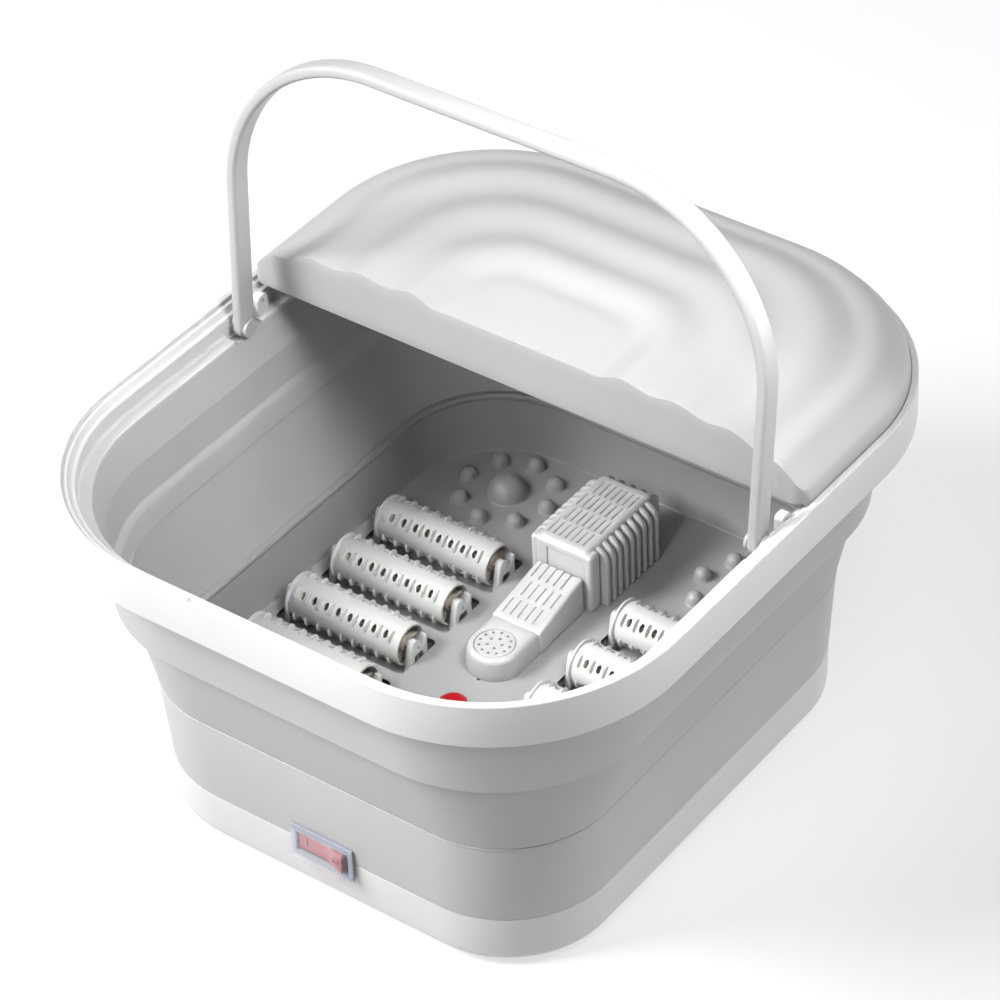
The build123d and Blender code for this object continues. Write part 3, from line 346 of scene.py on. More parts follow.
BOOT = plastic("cover_clear", (0.62, 0.60, 0.66), 0.05, grain=0.01, alpha=0.13, specular=1.0)
ROCKER = plastic("rocker_red", (0.30, 0.006, 0.008), 0.25, grain=0.01)
BLACK = plastic("black_plastic", (0.02, 0.02, 0.02), 0.45, grain=0.08)
RUBBER = plastic("black_rubber", (0.03, 0.03, 0.03), 0.75, grain=0.3, grain_scale=600.0)
BASE_GREY = plastic("cover_grey", (0.30, 0.30, 0.31), 0.5, grain=0.10)
BOARD = plastic("board_green", (0.02, 0.14, 0.06), 0.35, grain=0.05)
STEEL = brushed_metal("pin_steel", (0.62, 0.62, 0.63), 0.28)
BRASS = brushed_metal("blade_brass", (0.78, 0.60, 0.28), 0.3)
ALUMINIUM = brushed_metal("fin_aluminium", (0.78, 0.79, 0.80), 0.35)


# ---- outer shell ------------------------------------------------------------------------------
def switch_hole(bm):
    bezel_low, bezel_high = low("switch_bezel"), high("switch_bezel")
    add_box(bm, (bezel_low.x + 2.1, bezel_low.y - 2, bezel_low.z + 2.1),
            (bezel_high.x - 2.1, bezel_high.y + 1, bezel_high.z - 2.1))


def build_base_shell():
    wall = 2.5
    bottom_x = low("base_shell").x * -1 - 1.6
    opening = high("bottom_cover") - Vector((5, 5, 0))
    floor_z = low("bottom_cover").z
    profile = [
        family(bottom_x, BASE_CORNER, BASE_LOW, 6.5),
        family(BASE_TOP_X, HOUSING_CORNER, BASE_TOP, 0.35),
        family(BASE_TOP_X - wall, HOUSING_CORNER - wall, BASE_TOP, 0.3),
        family(bottom_x - wall, BASE_CORNER - wall, floor_z, 4.0),
        (opening.x, opening.y, 3.0, floor_z, 0.4),
        (opening.x, opening.y, 3.0, BASE_LOW, 0.4),
    ]
    made = mesh_object("base_bowl", ring_shell(profile))
    tool = bmesh.new()
    switch_hole(tool)
    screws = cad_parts["body_screws"]
    spots = {(round(v.co.x / MM / 50), round(v.co.y / MM / 50)) for v in screws.data.vertices}
    boss = (high("body_screws") + low("body_screws")) / 2
    reach_x = high("body_screws").x - boss.x - 3.4
    reach_y = high("body_screws").y - boss.y - 3.4
    for x, y in spots:
        add_cylinder(tool, 3.7, BASE_LOW - 2, BASE_LOW + 1.9,
                     math.copysign(reach_x, x), math.copysign(reach_y, y))
    place = Matrix.Translation((0, high("base_shell").y, (low("inlet_gland").z + high("inlet_gland").z) / 2))
    bmesh.ops.create_cone(tool, cap_ends=True, segments=40, radius1=5.4, radius2=5.4, depth=20,
                          matrix=place @ Matrix.Rotation(math.pi / 2, 4, "X"))
    combine(made, tool)
    return placed(made, "base", WHITE, "white_shell", "base_shell")


def build_mid_housing():
    wall = 2.4
    top = CLAMP_LOW
    profile = [
        family(BASE_TOP_X, HOUSING_CORNER, BASE_TOP + 0.05, 0.3),
        family(HOUSING_X, HOUSING_CORNER, top - 0.05, 0.3),
        family(HOUSING_X - wall, HOUSING_CORNER - wall, top - 0.05, 0.2),
        family(BASE_TOP_X - wall, HOUSING_CORNER - wall, BASE_TOP + 0.05, 0.2),
    ]
    made = mesh_object("rigid_band", ring_shell(profile))
    tool = bmesh.new()
    switch_hole(tool)
    combine(made, tool)
    return placed(made, "base", GREY, "grey_wall", "mid_housing")


def build_clamp_ring():
    width = 2.6
    profile = [
        family(CLAMP_X, HOUSING_CORNER, CLAMP_LOW, 0.5),
        family(CLAMP_X, HOUSING_CORNER, FOLD_LOW, 0.5),
        family(CLAMP_X - width, HOUSING_CORNER - width, FOLD_LOW, 0.3),
        family(CLAMP_X - width, HOUSING_CORNER - width, CLAMP_LOW, 0.3),
    ]
    made = mesh_object("clamp_band", ring_shell(profile))
    return placed(made, "base", GREY, "white_shell", "clamp_ring")


def build_fold_wall():
    """Soft tapered wall, in many short rows."""
    wall = 2.6
    rows = 26
    outer = []
    inner = []
    for row in range(rows + 1):
        share = row / rows
        half_x = HOUSING_X + (FOLD_X - HOUSING_X) * share
        corner = HOUSING_CORNER + (FOLD_CORNER - HOUSING_CORNER) * share
        z = FOLD_LOW + (FOLD_HIGH - FOLD_LOW) * share
        outer.append(family(half_x, corner, z, 0.3 if row in (0, rows) else 0))
        inset = wall + 1.7 * max(0.0, 1 - row / 5) ** 2
        inner.append(family(half_x - inset, corner - inset, z, 0.3 if row in (0, rows) else 0))
    made = mesh_object("soft_band", ring_shell(outer + inner[::-1]))
    made.data.materials.append(SOFT_GREY)
    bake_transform(made)
    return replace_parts(made, "fold_wall")


def build_upper_wall():
    """Upper band: plain outside, stepped inside with a rounded shoulder over the soft wall."""
    outer_low_x = 157.5
    outer_top_x = 161.0
    profile = [
        family(outer_low_x + 0.6, UPPER_CORNER - 5, UPPER_LOW, 0.5),
        family(outer_top_x + 0.4, UPPER_CORNER - 6, SKIRT_LOW - 7, 0.5),
        family(high("upper_wall").x, UPPER_CORNER - 4, LEDGE_LOW, 0.3),
        family(162.4, UPPER_CORNER - 3, LEDGE_LOW, 0.2),
        family(155.6, UPPER_CORNER - 13, 181.9, 0.6),
        family(154.4, UPPER_CORNER - 13, 160.0, 0.8),
        family(151.6, UPPER_CORNER - 13, 157.0, 2.0),
        family(149.6, UPPER_CORNER - 13, FOLD_HIGH - 2.0, 0.2),
        family(151.2, UPPER_CORNER - 6, FOLD_HIGH - 2.0, 0.2),
        family(151.2, UPPER_CORNER - 6, FOLD_HIGH + 0.3, 0.2),
        family(FOLD_X + 0.3, UPPER_CORNER - 2.7, FOLD_HIGH + 0.3, 0.2),
        family(FOLD_X + 0.3, UPPER_CORNER - 2.7, UPPER_LOW, 0.3),
    ]
    made = mesh_object("upper_band", ring_shell(profile))
    return placed(made, "rim", GREY, "grey_wall", "upper_wall")


def rim_point(half_x, z, rounding=0.0):
    return family(half_x, RIM_CORNER - (RIM_X - half_x), z, rounding)


def build_rim():
    skirt = 2.5
    groove_out = RIM_X - 3.6
    groove_in = groove_out - 2.6
    lip_x = RIM_X - 10.5
    web_x = lip_x + skirt
    deck_low = RIM_TOP - 7.6
    ledge_x = 162.2
    profile = [
        rim_point(RIM_X, SKIRT_LOW, 1.0),
        rim_point(RIM_X, RIM_TOP, 1.1),
        rim_point(groove_out, RIM_TOP, 0.7),
        rim_point(groove_out, RIM_TOP - 2.1, 0.4),
        rim_point(groove_in, RIM_TOP - 2.1, 0.4),
        rim_point(lip_x + 2.2, RIM_TOP - 5.0, 0.9),
        rim_point(lip_x, RIM_TOP - 5.4, 1.1),
        rim_point(lip_x, LEDGE_LOW + 4.3, 1.6),
        rim_point(lip_x - 1.2, LEDGE_LOW + 3.2, 1.2),
        family(ledge_x, UPPER_CORNER - 3, LEDGE_LOW + 2.4, 0.5),
        family(ledge_x, UPPER_CORNER - 3, LEDGE_LOW, 0.2),
        rim_point(web_x, LEDGE_LOW, 0.3),
        rim_point(web_x, deck_low, 0.8),
        rim_point(RIM_X - skirt, deck_low, 0.8),
        rim_point(RIM_X - skirt, SKIRT_LOW, 0.6),
    ]
    made = mesh_object("rim", ring_shell(profile))
    tool = bmesh.new()
    add_finger_scoop(tool)
    for side in (-1, 1):
        x_low, x_high = sorted((side * (ledge_x - 3), side * (lip_x - 0.02)))
        add_box(tool, (x_low, PIVOT.y - 10, LEDGE_LOW - 1), (x_high, PIVOT.y + 13, LEDGE_LOW + 8))
    combine(made, tool)
    return placed(made, "rim", WHITE, "white_shell", "rim_frame")


def add_finger_scoop(bm):
    """Tool for the shallow scoop in the rim's front: rounded ends, floor falling outwards."""
    half = 36.0
    depth = 2.6
    round_end = 5.0
    front = -(RIM_X + EXTRA)
    section = [(half + 1.5, 2.0)]
    for step in range(7):
        angle = math.pi / 2 * step / 6
        section.append((half - round_end * (1 - math.cos(angle)), -depth * math.sin(angle)))
    loop = section + [(-x, z) for x, z in section[::-1]]
    rows = []
    for y, drop in ((front - 2, 0.6), (front + 11.6, 0.0)):
        rows.append([bm.verts.new((x, y, RIM_TOP + (z - drop if z < 0 else z))) for x, z in loop])
    for i in range(len(loop)):
        bm.faces.new((rows[0][i - 1], rows[0][i], rows[1][i], rows[1][i - 1]))
    bm.faces.new(rows[0][::-1])
    bm.faces.new(rows[1])
    bmesh.ops.recalc_face_normals(bm, faces=bm.faces)


# ---- lid --------------------------------------------------------------------------------------
LID_BASE = [(0, 0), (1.2, 6.5), (5, 12.6), (12, 20.2), (20, 23.6), (44, 29.8), (79, 32.8), (108, 33.8),
            (130, 31.2), (178, 31.0)]


def smooth_curve(points, x):
    """Smooth monotone curve through a few named points."""
    for index in range(len(points) - 1):
        if x <= points[index + 1][0] or index == len(points) - 2:
            break
    slopes = []
    for at in (index, index + 1):
        before = points[max(at - 1, 0)]
        after = points[min(at + 1, len(points) - 1)]
        slopes.append((after[1] - before[1]) / (after[0] - before[0]))
    (x0, y0), (x1, y1) = points[index], points[index + 1]
    span = x1 - x0
    t = min(max((x - x0) / span, 0.0), 1.0)
    h00 = 2 * t ** 3 - 3 * t ** 2 + 1
    h10 = t ** 3 - 2 * t ** 2 + t
    return y0 * h00 + slopes[0] * span * h10 + y1 * (1 - h00) + slopes[1] * span * (t ** 3 - t ** 2)


def lid_height(inset):
    """Height of the lid's top over its lower edge, at a distance in from its outline."""
    first_dip, last_dip, wave = 25.0, 127.0, 34.0
    height = smooth_curve(LID_BASE, inset)
    if first_dip - 8 < inset < last_dip + 9:
        fade = min(1.0, (inset - first_dip + 8) / 8, (last_dip + 9 - inset) / 12)
        height += 1.5 * fade * -math.cos(2 * math.pi * (inset - first_dip) / wave)
    return height


def lid_path(inset, z):
    """Points of one U-shaped line over the lid, from its right front end round the rear to the left."""
    half_x = LID_X - inset
    half_y = half_x + EXTRA
    corner = max(RIM_CORNER - 3.9 - 0.62 * inset, 1.0)
    corner = min(corner, half_x)
    turn_in = 9.0
    start = LID_FRONT
    if inset < turn_in:
        start += turn_in - math.sqrt(turn_in ** 2 - (turn_in - inset) ** 2)
    points = []
    side_end = max(half_y - corner, start + 0.01)
    for step in range(18):
        points.append(Vector((half_x, start + (side_end - start) * step / 18, z)))
    for step in range(25):
        angle = math.pi / 2 * step / 24
        points.append(Vector((half_x - corner + corner * math.cos(angle),
                              side_end + (half_y - side_end) * math.sin(angle), z)))
    rear = [Vector(((half_x - corner) * (1 - step / 6), half_y, z)) for step in range(1, 7)]
    points += rear
    return points + [Vector((-p.x, p.y, p.z)) for p in points[-2::-1]]


def build_lid():
    wall = 1.9
    insets = [0, 0.35, 1.2, 2.4, 3.8, 5.5, 7.5, 9.5, 12, 14.5, 17, 20, 22.5]
    insets += [22.5 + 2.6 * step for step in range(1, 47)]
    insets += [148, 156, 164, 171, 175]
    bottom = LID_LOW + 2.3
    bm = bmesh.new()
    rows = []
    for inset in insets:
        z = LID_LOW + 2.0 + lid_height(inset)
        rows.append([bm.verts.new(p) for p in lid_path(inset, z)])
    base_row = [bm.verts.new(p) for p in lid_path(0, LID_LOW + 0.1)]
    rows.insert(0, base_row)
    for row_a, row_b in zip(rows, rows[1:]):
        for i in range(len(row_a) - 1):
            bm.faces.new((row_a[i], row_a[i + 1], row_b[i + 1], row_b[i]))
    ridge = rows[-1]
    half = len(ridge) // 2
    for i in range(half - 1):
        bm.faces.new((ridge[i], ridge[i + 1], ridge[-2 - i], ridge[-1 - i]))
    bm.faces.new((ridge[half - 1], ridge[half], ridge[half + 1]))
    front_top = [row[0] for row in rows[1:]] + [row[-1] for row in rows[:0:-1]]
    steps = 5
    columns = []
    for vert in front_top:
        top = vert.co.copy()
        edge = abs(top.x) > LID_X - 2.2
        foot = LID_LOW + 0.1 if edge else bottom
        columns.append([vert] + [bm.verts.new((top.x, top.y, top.z + (foot - top.z) * s / steps))
                                 for s in range(1, steps + 1)])
    columns[0][-1].co.z = LID_LOW + 0.1
    for column_a, column_b in zip(columns, columns[1:]):
        for s in range(steps):
            bm.faces.new((column_a[s], column_a[s + 1], column_b[s + 1], column_b[s]))
    bmesh.ops.remove_doubles(bm, verts=bm.verts, dist=0.02)
    bmesh.ops.recalc_face_normals(bm, faces=bm.faces)
    upward = sum(face.normal.z for face in bm.faces)
    if upward < 0:
        bmesh.ops.reverse_faces(bm, faces=bm.faces)
    made = mesh_object("splash_lid", bm)
    thick = made.modifiers.new("wall", "SOLIDIFY")
    thick.thickness = wall * MM
    thick.offset = -1.0
    thick.use_even_offset = False
    apply_modifiers(made)
    bevelled(made, 0.9, segments=3, angle=55.0)
    return placed(made, "lid", LID, "lid_plastic", "lid")


# ---- handle -----------------------------------------------------------------------------------
def build_handle():
    """Strap with rounded edges, swept along the arch, with a round eye at each foot."""
    rise, corner, lean = 186.0, 95.0, math.radians(4.3)
    width, thick, edge = 12.5, 6.5, 2.3
    shoulder_x = 168.3 - thick / 2
    foot_x = 167.0 - thick / 2
    shoulder_z = rise - corner
    top = rise - thick / 2
    radius = corner - thick / 2
    path = []
    for step in range(13):
        share = step / 12
        path.append((foot_x + (shoulder_x - foot_x) * share, shoulder_z * share))
    for step in range(1, 41):
        angle = math.pi / 2 * step / 40
        path.append((shoulder_x - radius + radius * math.cos(angle), top - radius + radius * math.sin(angle)))
    flat = shoulder_x - radius
    path += [(flat * (1 - step / 6), top) for step in range(1, 7)]
    path += [(-x, z) for x, z in path[-2::-1]]
    section = []
    for quarter, (sx, sy) in enumerate(((1, 1), (-1, 1), (-1, -1), (1, -1))):
        for step in range(5):
            angle = math.pi / 2 * (quarter + step / 4)
            section.append((sx * (thick / 2 - edge) + edge * math.cos(angle),
                            sy * (width / 2 - edge) + edge * math.sin(angle)))
    bm = bmesh.new()
    rings = []
    for index, (x, z) in enumerate(path):
        before = path[max(index - 1, 0)]
        after = path[min(index + 1, len(path) - 1)]
        along = Vector((after[0] - before[0], after[1] - before[1])).normalized()
        out = Vector((along.y, -along.x))
        rings.append([bm.verts.new((x + out.x * u, v, z + out.y * u)) for u, v in section])
    for ring_a, ring_b in zip(rings, rings[1:]):
        bridge(bm, ring_a, ring_b)
    bm.faces.new(rings[0])
    bm.faces.new(rings[-1][::-1])
    bmesh.ops.recalc_face_normals(bm, faces=bm.faces)
    made = mesh_object("carry_handle", bm)
    for side in (-1, 1):
        eye = bmesh.new()
        place = Matrix.Translation((side * foot_x, 0, 0)) @ ALONG_X
        bmesh.ops.create_cone(eye, cap_ends=True, segments=48, radius1=width / 2, radius2=width / 2,
                              depth=thick - 0.02, matrix=place)
        bmesh.ops.bevel(eye, geom=[e for e in eye.edges if e.calc_face_angle(0) > 1], offset=1.2,
                        segments=3, affect="EDGES")
        combine(made, eye, "UNION")
    bore = bmesh.new()
    bmesh.ops.create_cone(bore, cap_ends=True, segments=40, radius1=3.06, radius2=3.06, depth=400,
                          matrix=ALONG_X)
    combine(made, bore)
    made.data.transform(Matrix.Translation(PIVOT * MM) @ Matrix.Rotation(-lean, 4, "X"))
    return placed(made, "handle", HANDLE, "handle_plastic", "handle")


# ---- tub --------------------------------------------------------------------------------------
ROLLER_NODES = [(word, row) for word in ("left", "right") for row in (1, 2, 3, 4)]
POCKET_MARGIN_X = 5.6
POCKET_MARGIN_Y = 1.9


def roller_box(word, row):
    node = f"roller_{word}_{row}"
    return low(node), high(node)


def roller_centre(word, row):
    corner_a, corner_b = roller_box(word, row)
    axle = f"roller_axle_{word}_{row}"
    middle = (corner_a + corner_b) / 2
    return Vector((middle.x, middle.y, (low(axle).z + high(axle).z) / 2))


def dome_profile(radius, stem, floor):
    """Half-round knob on a short stem with a small fillet at its foot."""
    profile = [(radius + 1.1, floor - 1.0), (radius + 1.1, floor + 0.02), (radius + 0.5, floor + 0.15),
               (radius + 0.12, floor + 0.55)]
    for step in range(10):
        angle = math.pi / 2 * step / 10
        profile.append((radius * math.cos(angle), floor + stem + radius * math.sin(angle)))
    profile.append((0.3, floor + stem + radius))
    return profile


def build_tub():
    wall, plate = 2.2, 2.5
    under = FLOOR - plate
    corner = HOUSING_CORNER - 2.4
    floor_x = BASE_TOP_X - 2.4 + 0.7
    top_x = HOUSING_X - 2.6
    centre = (1.0, EXTRA + 1.0, 1.0)
    profile = [
        family(floor_x, corner, under, 1.0),
        family(top_x, corner, TUB_TOP, 0.4),
        family(top_x - 3.6, corner - 3.6, TUB_TOP, 0.5),
        family(top_x - 3.9, corner - 3.9, TUB_TOP - 2.6, 1.0),
        family(top_x - wall, corner - wall, TUB_TOP - 4.6, 1.0),
        family(floor_x - wall, corner - wall, FLOOR, 0.9),
        (*centre, FLOOR, 0),
        (*centre, under, 0),
    ]
    made = mesh_object("tub_bowl", ring_shell(profile))
    tool = bmesh.new()
    for word, row in ROLLER_NODES:
        spot = roller_centre(word, row)
        corner_a, corner_b = roller_box(word, row)
        half_x = (corner_b.x - corner_a.x) / 2 + POCKET_MARGIN_X
        half_y = (corner_b.y - corner_a.y) / 2 + POCKET_MARGIN_Y
        add_rounded_block(tool, half_x, half_y, 3.0, [(0, under - 1), (0, FLOOR + 1)], (spot.x, spot.y))
    combine(made, tool)
    bevelled(made, 0.5, segments=2, angle=50.0)
    return placed(made, "base", TUB_GREY, "tub_grey", "tub")


def build_roller_wells():
    """The pockets that hang under the tub's floor."""
    bottom = low("tub").z
    wall = 2.0
    bm = bmesh.new()
    for word, row in ROLLER_NODES:
        spot = roller_centre(word, row)
        corner_a, corner_b = roller_box(word, row)
        half_x = (corner_b.x - corner_a.x) / 2 + POCKET_MARGIN_X
        half_y = (corner_b.y - corner_a.y) / 2 + POCKET_MARGIN_Y
        loops = [(half_x + wall, half_y + wall, 5.0, FLOOR - 2.4), (half_x + wall, half_y + wall, 5.0, bottom),
                 (half_x, half_y, 3.0, bottom + wall), (half_x, half_y, 3.0, FLOOR - 0.7)]
        rings = [[bm.verts.new(p + Vector((spot.x, spot.y, 0))) for p in outline(*loop)] for loop in loops]
        bridge(bm, rings[0], rings[1])
        bridge(bm, rings[2], rings[3])
        bridge(bm, rings[3], rings[0])
        bm.faces.new(rings[1])
        bm.faces.new(rings[2])
    bmesh.ops.recalc_face_normals(bm, faces=bm.faces)
    made = mesh_object("roller_wells", bm)
    return placed(made, "base", TUB_GREY, "tub_grey", "tub")


def build_domes():
    """Two rings of eight massage knobs, each ring round a large one."""
    ring, count = 27.5, 8
    rear = roller_centre("left", 1).y + 60.2
    bm = bmesh.new()
    for word in ("left", "right"):
        x = roller_centre(word, 1).x
        add_turned(bm, dome_profile(11.5, 0.2, FLOOR), x, rear, 56)
        for step in range(count):
            angle = 2 * math.pi * step / count
            knob = dome_profile(4.9, 2.0, FLOOR)
            add_turned(bm, knob, x + ring * math.cos(angle), rear + ring * math.sin(angle), 32)
    made = mesh_object("massage_knobs", bm, 60)
    return placed(made, "base", TUB_GREY, "tub_grey", "tub")


# ---- rollers ----------------------------------------------------------------------------------
ROLLER_RADIUS = 12.5
RIB_TOP = 14.6


def build_roller_mesh(half):
    """Thin tube with five rows of oval holes, a rib between each two, and a flange at its outer end."""
    rows, rings, pitch, bore = 5, 9, 8.1, 11.2
    first = -(rings - 1) / 2 * pitch
    turn = math.radians(43.0)
    bm = bmesh.new()
    shape = [(-half, bore), (-half, ROLLER_RADIUS + 0.6), (-half + 0.35, ROLLER_RADIUS + 0.95),
             (-half + 1.2, ROLLER_RADIUS + 0.95), (-half + 1.6, ROLLER_RADIUS + 0.5),
             (-half + 1.7, ROLLER_RADIUS - 0.35), (-half + 2.5, ROLLER_RADIUS - 0.35),
             (-half + 2.7, ROLLER_RADIUS), (half - 0.6, ROLLER_RADIUS), (half - 0.15, ROLLER_RADIUS - 0.3),
             (half, ROLLER_RADIUS - 0.7), (half, bore)]
    segments = 80
    loops = []
    for x, radius in shape:
        loops.append([bm.verts.new((x, radius * math.sin(2 * math.pi * s / segments),
                                    radius * math.cos(2 * math.pi * s / segments))) for s in range(segments)])
    for index in range(len(loops)):
        bridge(bm, loops[index - 1], loops[index])
    bmesh.ops.recalc_face_normals(bm, faces=bm.faces)
    made = mesh_object("roller", bm)
    tool = bmesh.new()
    for row in range(rows):
        angle = turn + 2 * math.pi / rows * row
        for ring in range(rings - 1):
            x = first + (ring + 0.5) * pitch
            place = Matrix.Rotation(angle, 4, "X") @ Matrix.Translation((x, 0, ROLLER_RADIUS))
            bmesh.ops.create_cone(tool, cap_ends=True, segments=20, radius1=1.5, radius2=1.5, depth=6,
                                  matrix=place @ Matrix.Diagonal((1, 1.65, 1, 1)))
    combine(made, tool)
    bevelled(made, 0.18, segments=1, angle=50.0)
    ribs = bmesh.new()
    for row in range(rows):
        angle = turn + 2 * math.pi / rows * row
        for ring in range(rings):
            add_rib(ribs, first + ring * pitch, angle)
    return made, mesh_object("ribs", ribs)


def add_rib(bm, x, angle):
    """Short fin across the roller, highest in the middle."""
    spin = Matrix.Rotation(angle, 4, "X") @ Matrix.Translation((x, 0, 0))
    reach = math.radians(18.0)
    rise = RIB_TOP - ROLLER_RADIUS
    loops = []
    for step in range(11):
        share = step / 10 * 2 - 1
        height = rise * max(0.0, 1 - share ** 2) ** 0.6
        half = 0.8 * max(0.25, 1 - share ** 2) ** 0.5
        radius = ROLLER_RADIUS
        turn = reach * share
        section = [(-half, radius - 0.5), (-half, radius + 0.1), (-half * 0.55, radius + height * 0.8),
                   (0, radius + height), (half * 0.55, radius + height * 0.8), (half, radius + 0.1),
                   (half, radius - 0.5)]
        spots = [Vector((u, r * math.sin(turn), r * math.cos(turn))) for u, r in section]
        loops.append([bm.verts.new(spin @ spot) for spot in spots])
    for loop_a, loop_b in zip(loops, loops[1:]):
        bridge(bm, loop_a, loop_b)
    bm.faces.new(loops[0])
    bm.faces.new(loops[-1][::-1])


def build_hub_mesh(half):
    """Pin with a spoked hub near each end of the tube."""
    bm = bmesh.new()
    pin_half = half + 4.5
    bmesh.ops.create_cone(bm, cap_ends=True, segments=24, radius1=2.0, radius2=2.0, depth=2 * pin_half,
                          matrix=ALONG_X)
    for end in (-1, 1):
        x = end * (half - 6.0)
        bmesh.ops.create_cone(bm, cap_ends=True, segments=32, radius1=4.6, radius2=4.6, depth=6.0,
                              matrix=Matrix.Translation((x + end * 1.0, 0, 0)) @ ALONG_X)
        bmesh.ops.create_cone(bm, cap_ends=True, segments=64, radius1=11.15, radius2=11.15, depth=1.6,
                              matrix=Matrix.Translation((x - end * 1.8, 0, 0)) @ ALONG_X)
        for spoke in range(3):
            place = Matrix.Rotation(2 * math.pi * spoke / 3 + 0.5, 4, "X")
            size = Matrix.Diagonal((4.4, 2.0, 8.0, 1))
            bmesh.ops.create_cube(bm, size=1, matrix=place @ Matrix.Translation((x + end * 0.6, 0, 7.0)) @ size)
    return mesh_object("hub", bm)


def build_rollers():
    corner_a, corner_b = roller_box("left", 1)
    half = (corner_b.x - corner_a.x) / 2
    tube, ribs = build_roller_mesh(half)
    hub = build_hub_mesh(half)
    bevelled(hub, 0.3, segments=2)
    for word, row in ROLLER_NODES:
        spot = Matrix.Translation(roller_centre(word, row) * MM)
        body = f"roller_{word}_{row}"
        for source, name, material, slot, node in (
                (tube, "tube", ROLLER, "roller_plastic", f"roller_{word}_{row}"),
                (ribs, "ribs", ROLLER, "roller_plastic", f"roller_{word}_{row}"),
                # the hub's colour carries painted shade as well as its own warm beige
                (hub, "hub", HUB_BEIGE_AND_SHADE, "roller_plastic", f"roller_axle_{word}_{row}")):
            piece = bpy.data.objects.new(f"{name}_{word}_{row}", source.data.copy())
            bpy.context.scene.collection.objects.link(piece)
            piece.data.transform(spot)
            placed(piece, body, material, slot, node)
    for source in (tube, ribs, hub):
        bpy.data.objects.remove(source)


CLIP_SIDE = [(-6.4, -1.0), (-4.8, 4.6), (-3.5, 6.3), (-1.6, 6.5), (0.6, 5.2), (2.7, 3.4), (3.2, 0.9),
             (4.1, -1.0), (5.4, 1.6), (6.5, 4.6), (7.8, 5.0), (8.5, 3.4), (7.7, -2.0)]


def build_roller_clips():
    """Tapered uprights with a slot and a blind pin hole, one at each end of every roller."""
    bottom = low("roller_clips_left").z
    for side_word in ("left", "right"):
        bm = bmesh.new()
        tool = bmesh.new()
        for row in (1, 2, 3, 4):
            spot = roller_centre(side_word, row)
            corner_a, corner_b = roller_box(side_word, row)
            half = (corner_b.x - corner_a.x) / 2
            for end in (-1, 1):
                faces = (spot.x + end * (half + 1.3), spot.x + end * (half + 5.4))
                add_clip(bm, faces, spot, bottom)
                place = Matrix.Translation((spot.x + end * half, spot.y, spot.z)) @ ALONG_X
                for segments, radius, depth in ((24, 2.1, 9.4), (20, 1.2, 14)):
                    bmesh.ops.create_cone(tool, cap_ends=True, segments=segments, radius1=radius, radius2=radius,
                                          depth=depth, matrix=place)
        made = mesh_object(f"clips_{side_word}", bm)
        bevelled(made, 0.45, segments=2, angle=50.0)
        combine(made, tool)
        placed(made, "base", ROLLER, "roller_plastic", f"roller_clips_{side_word}")


def add_clip(bm, faces, spot, bottom):
    foot = bottom - spot.z
    side = [(-9.2, foot)] + CLIP_SIDE + [(8.8, foot), (5.2, foot), (3.6, -3.6), (-2.8, -3.6), (-5.4, foot)]
    loops = [[bm.verts.new((x, spot.y + y, spot.z + z)) for y, z in side] for x in faces]
    bridge(bm, *loops)
    bm.faces.new(loops[0])
    bm.faces.new(loops[1])
    bmesh.ops.recalc_face_normals(bm, faces=bm.faces)


# ---- centre module ----------------------------------------------------------------------------
NOSE_RADIUS = high("nozzle_cover").x
NOSE_Y = low("nozzle_cover").y + NOSE_RADIUS
NOSE_TOP = high("nozzle_cover").z
RAMP_FRONT = low("ramp_cover").y
TOWER_FRONT = high("ramp_cover").y + 0.2
TOWER_TOP = high("heater_tower").z - 0.8
TOWER_REAR = TOWER_FRONT + 66.0
RAMP_TOP = NOSE_TOP + 9.5


def build_nose():
    """Round nose with a dished seat for the grille and a soft upper edge."""
    steps = 40
    plan = []
    for step in range(steps + 1):
        angle = math.pi + math.pi * step / steps
        plan.append((math.cos(angle), math.sin(angle)))
    bm = bmesh.new()
    rings = []
    end = high("nozzle_cover").y
    levels = [(NOSE_RADIUS + 0.0, FLOOR), (NOSE_RADIUS - 0.25, FLOOR + 6), (NOSE_RADIUS - 0.5, NOSE_TOP - 3.2),
              (NOSE_RADIUS - 0.9, NOSE_TOP - 1.7), (NOSE_RADIUS - 1.9, NOSE_TOP - 0.6),
               (NOSE_RADIUS - 3.4, NOSE_TOP)]
    for radius, z in levels:
        ring = [bm.verts.new((-radius, end, z))]
        ring += [bm.verts.new((c * radius, NOSE_Y + s * radius, z)) for c, s in plan]
        ring.append(bm.verts.new((radius, end, z)))
        rings.append(ring)
    for ring_a, ring_b in zip(rings, rings[1:]):
        bridge(bm, ring_a, ring_b)
    bm.faces.new(rings[0][::-1])
    bm.faces.new(rings[-1])
    bmesh.ops.recalc_face_normals(bm, faces=bm.faces)
    made = mesh_object("nozzle_housing", bm)
    tool = bmesh.new()
    add_cylinder(tool, high("air_grille").x + 0.35, NOSE_TOP - 1.4, NOSE_TOP + 2, 0, NOSE_Y, 64)
    combine(made, tool)
    bevelled(made, 0.35, segments=2, angle=50.0)
    return placed(made, "base", MODULE, "tub_grey", "nozzle_cover")


def build_grille():
    radius = high("air_grille").x
    bottom = low("air_grille").z
    bm = bmesh.new()
    add_turned(bm, [(radius, bottom), (radius, NOSE_TOP - 0.35), (radius - 0.35, NOSE_TOP)], 0, NOSE_Y, 64)
    made = mesh_object("air_plate", bm)
    tool = bmesh.new()
    for count, ring in ((12, 8.6), (5, 4.2)):
        for step in range(count):
            angle = 2 * math.pi * step / count + 0.2
            x, y = ring * math.cos(angle), NOSE_Y + ring * math.sin(angle)
            add_cylinder(tool, 0.95, bottom - 1, NOSE_TOP + 1, x, y, 16)
    combine(made, tool)
    return placed(made, "base", MODULE, "tub_grey", "air_grille")


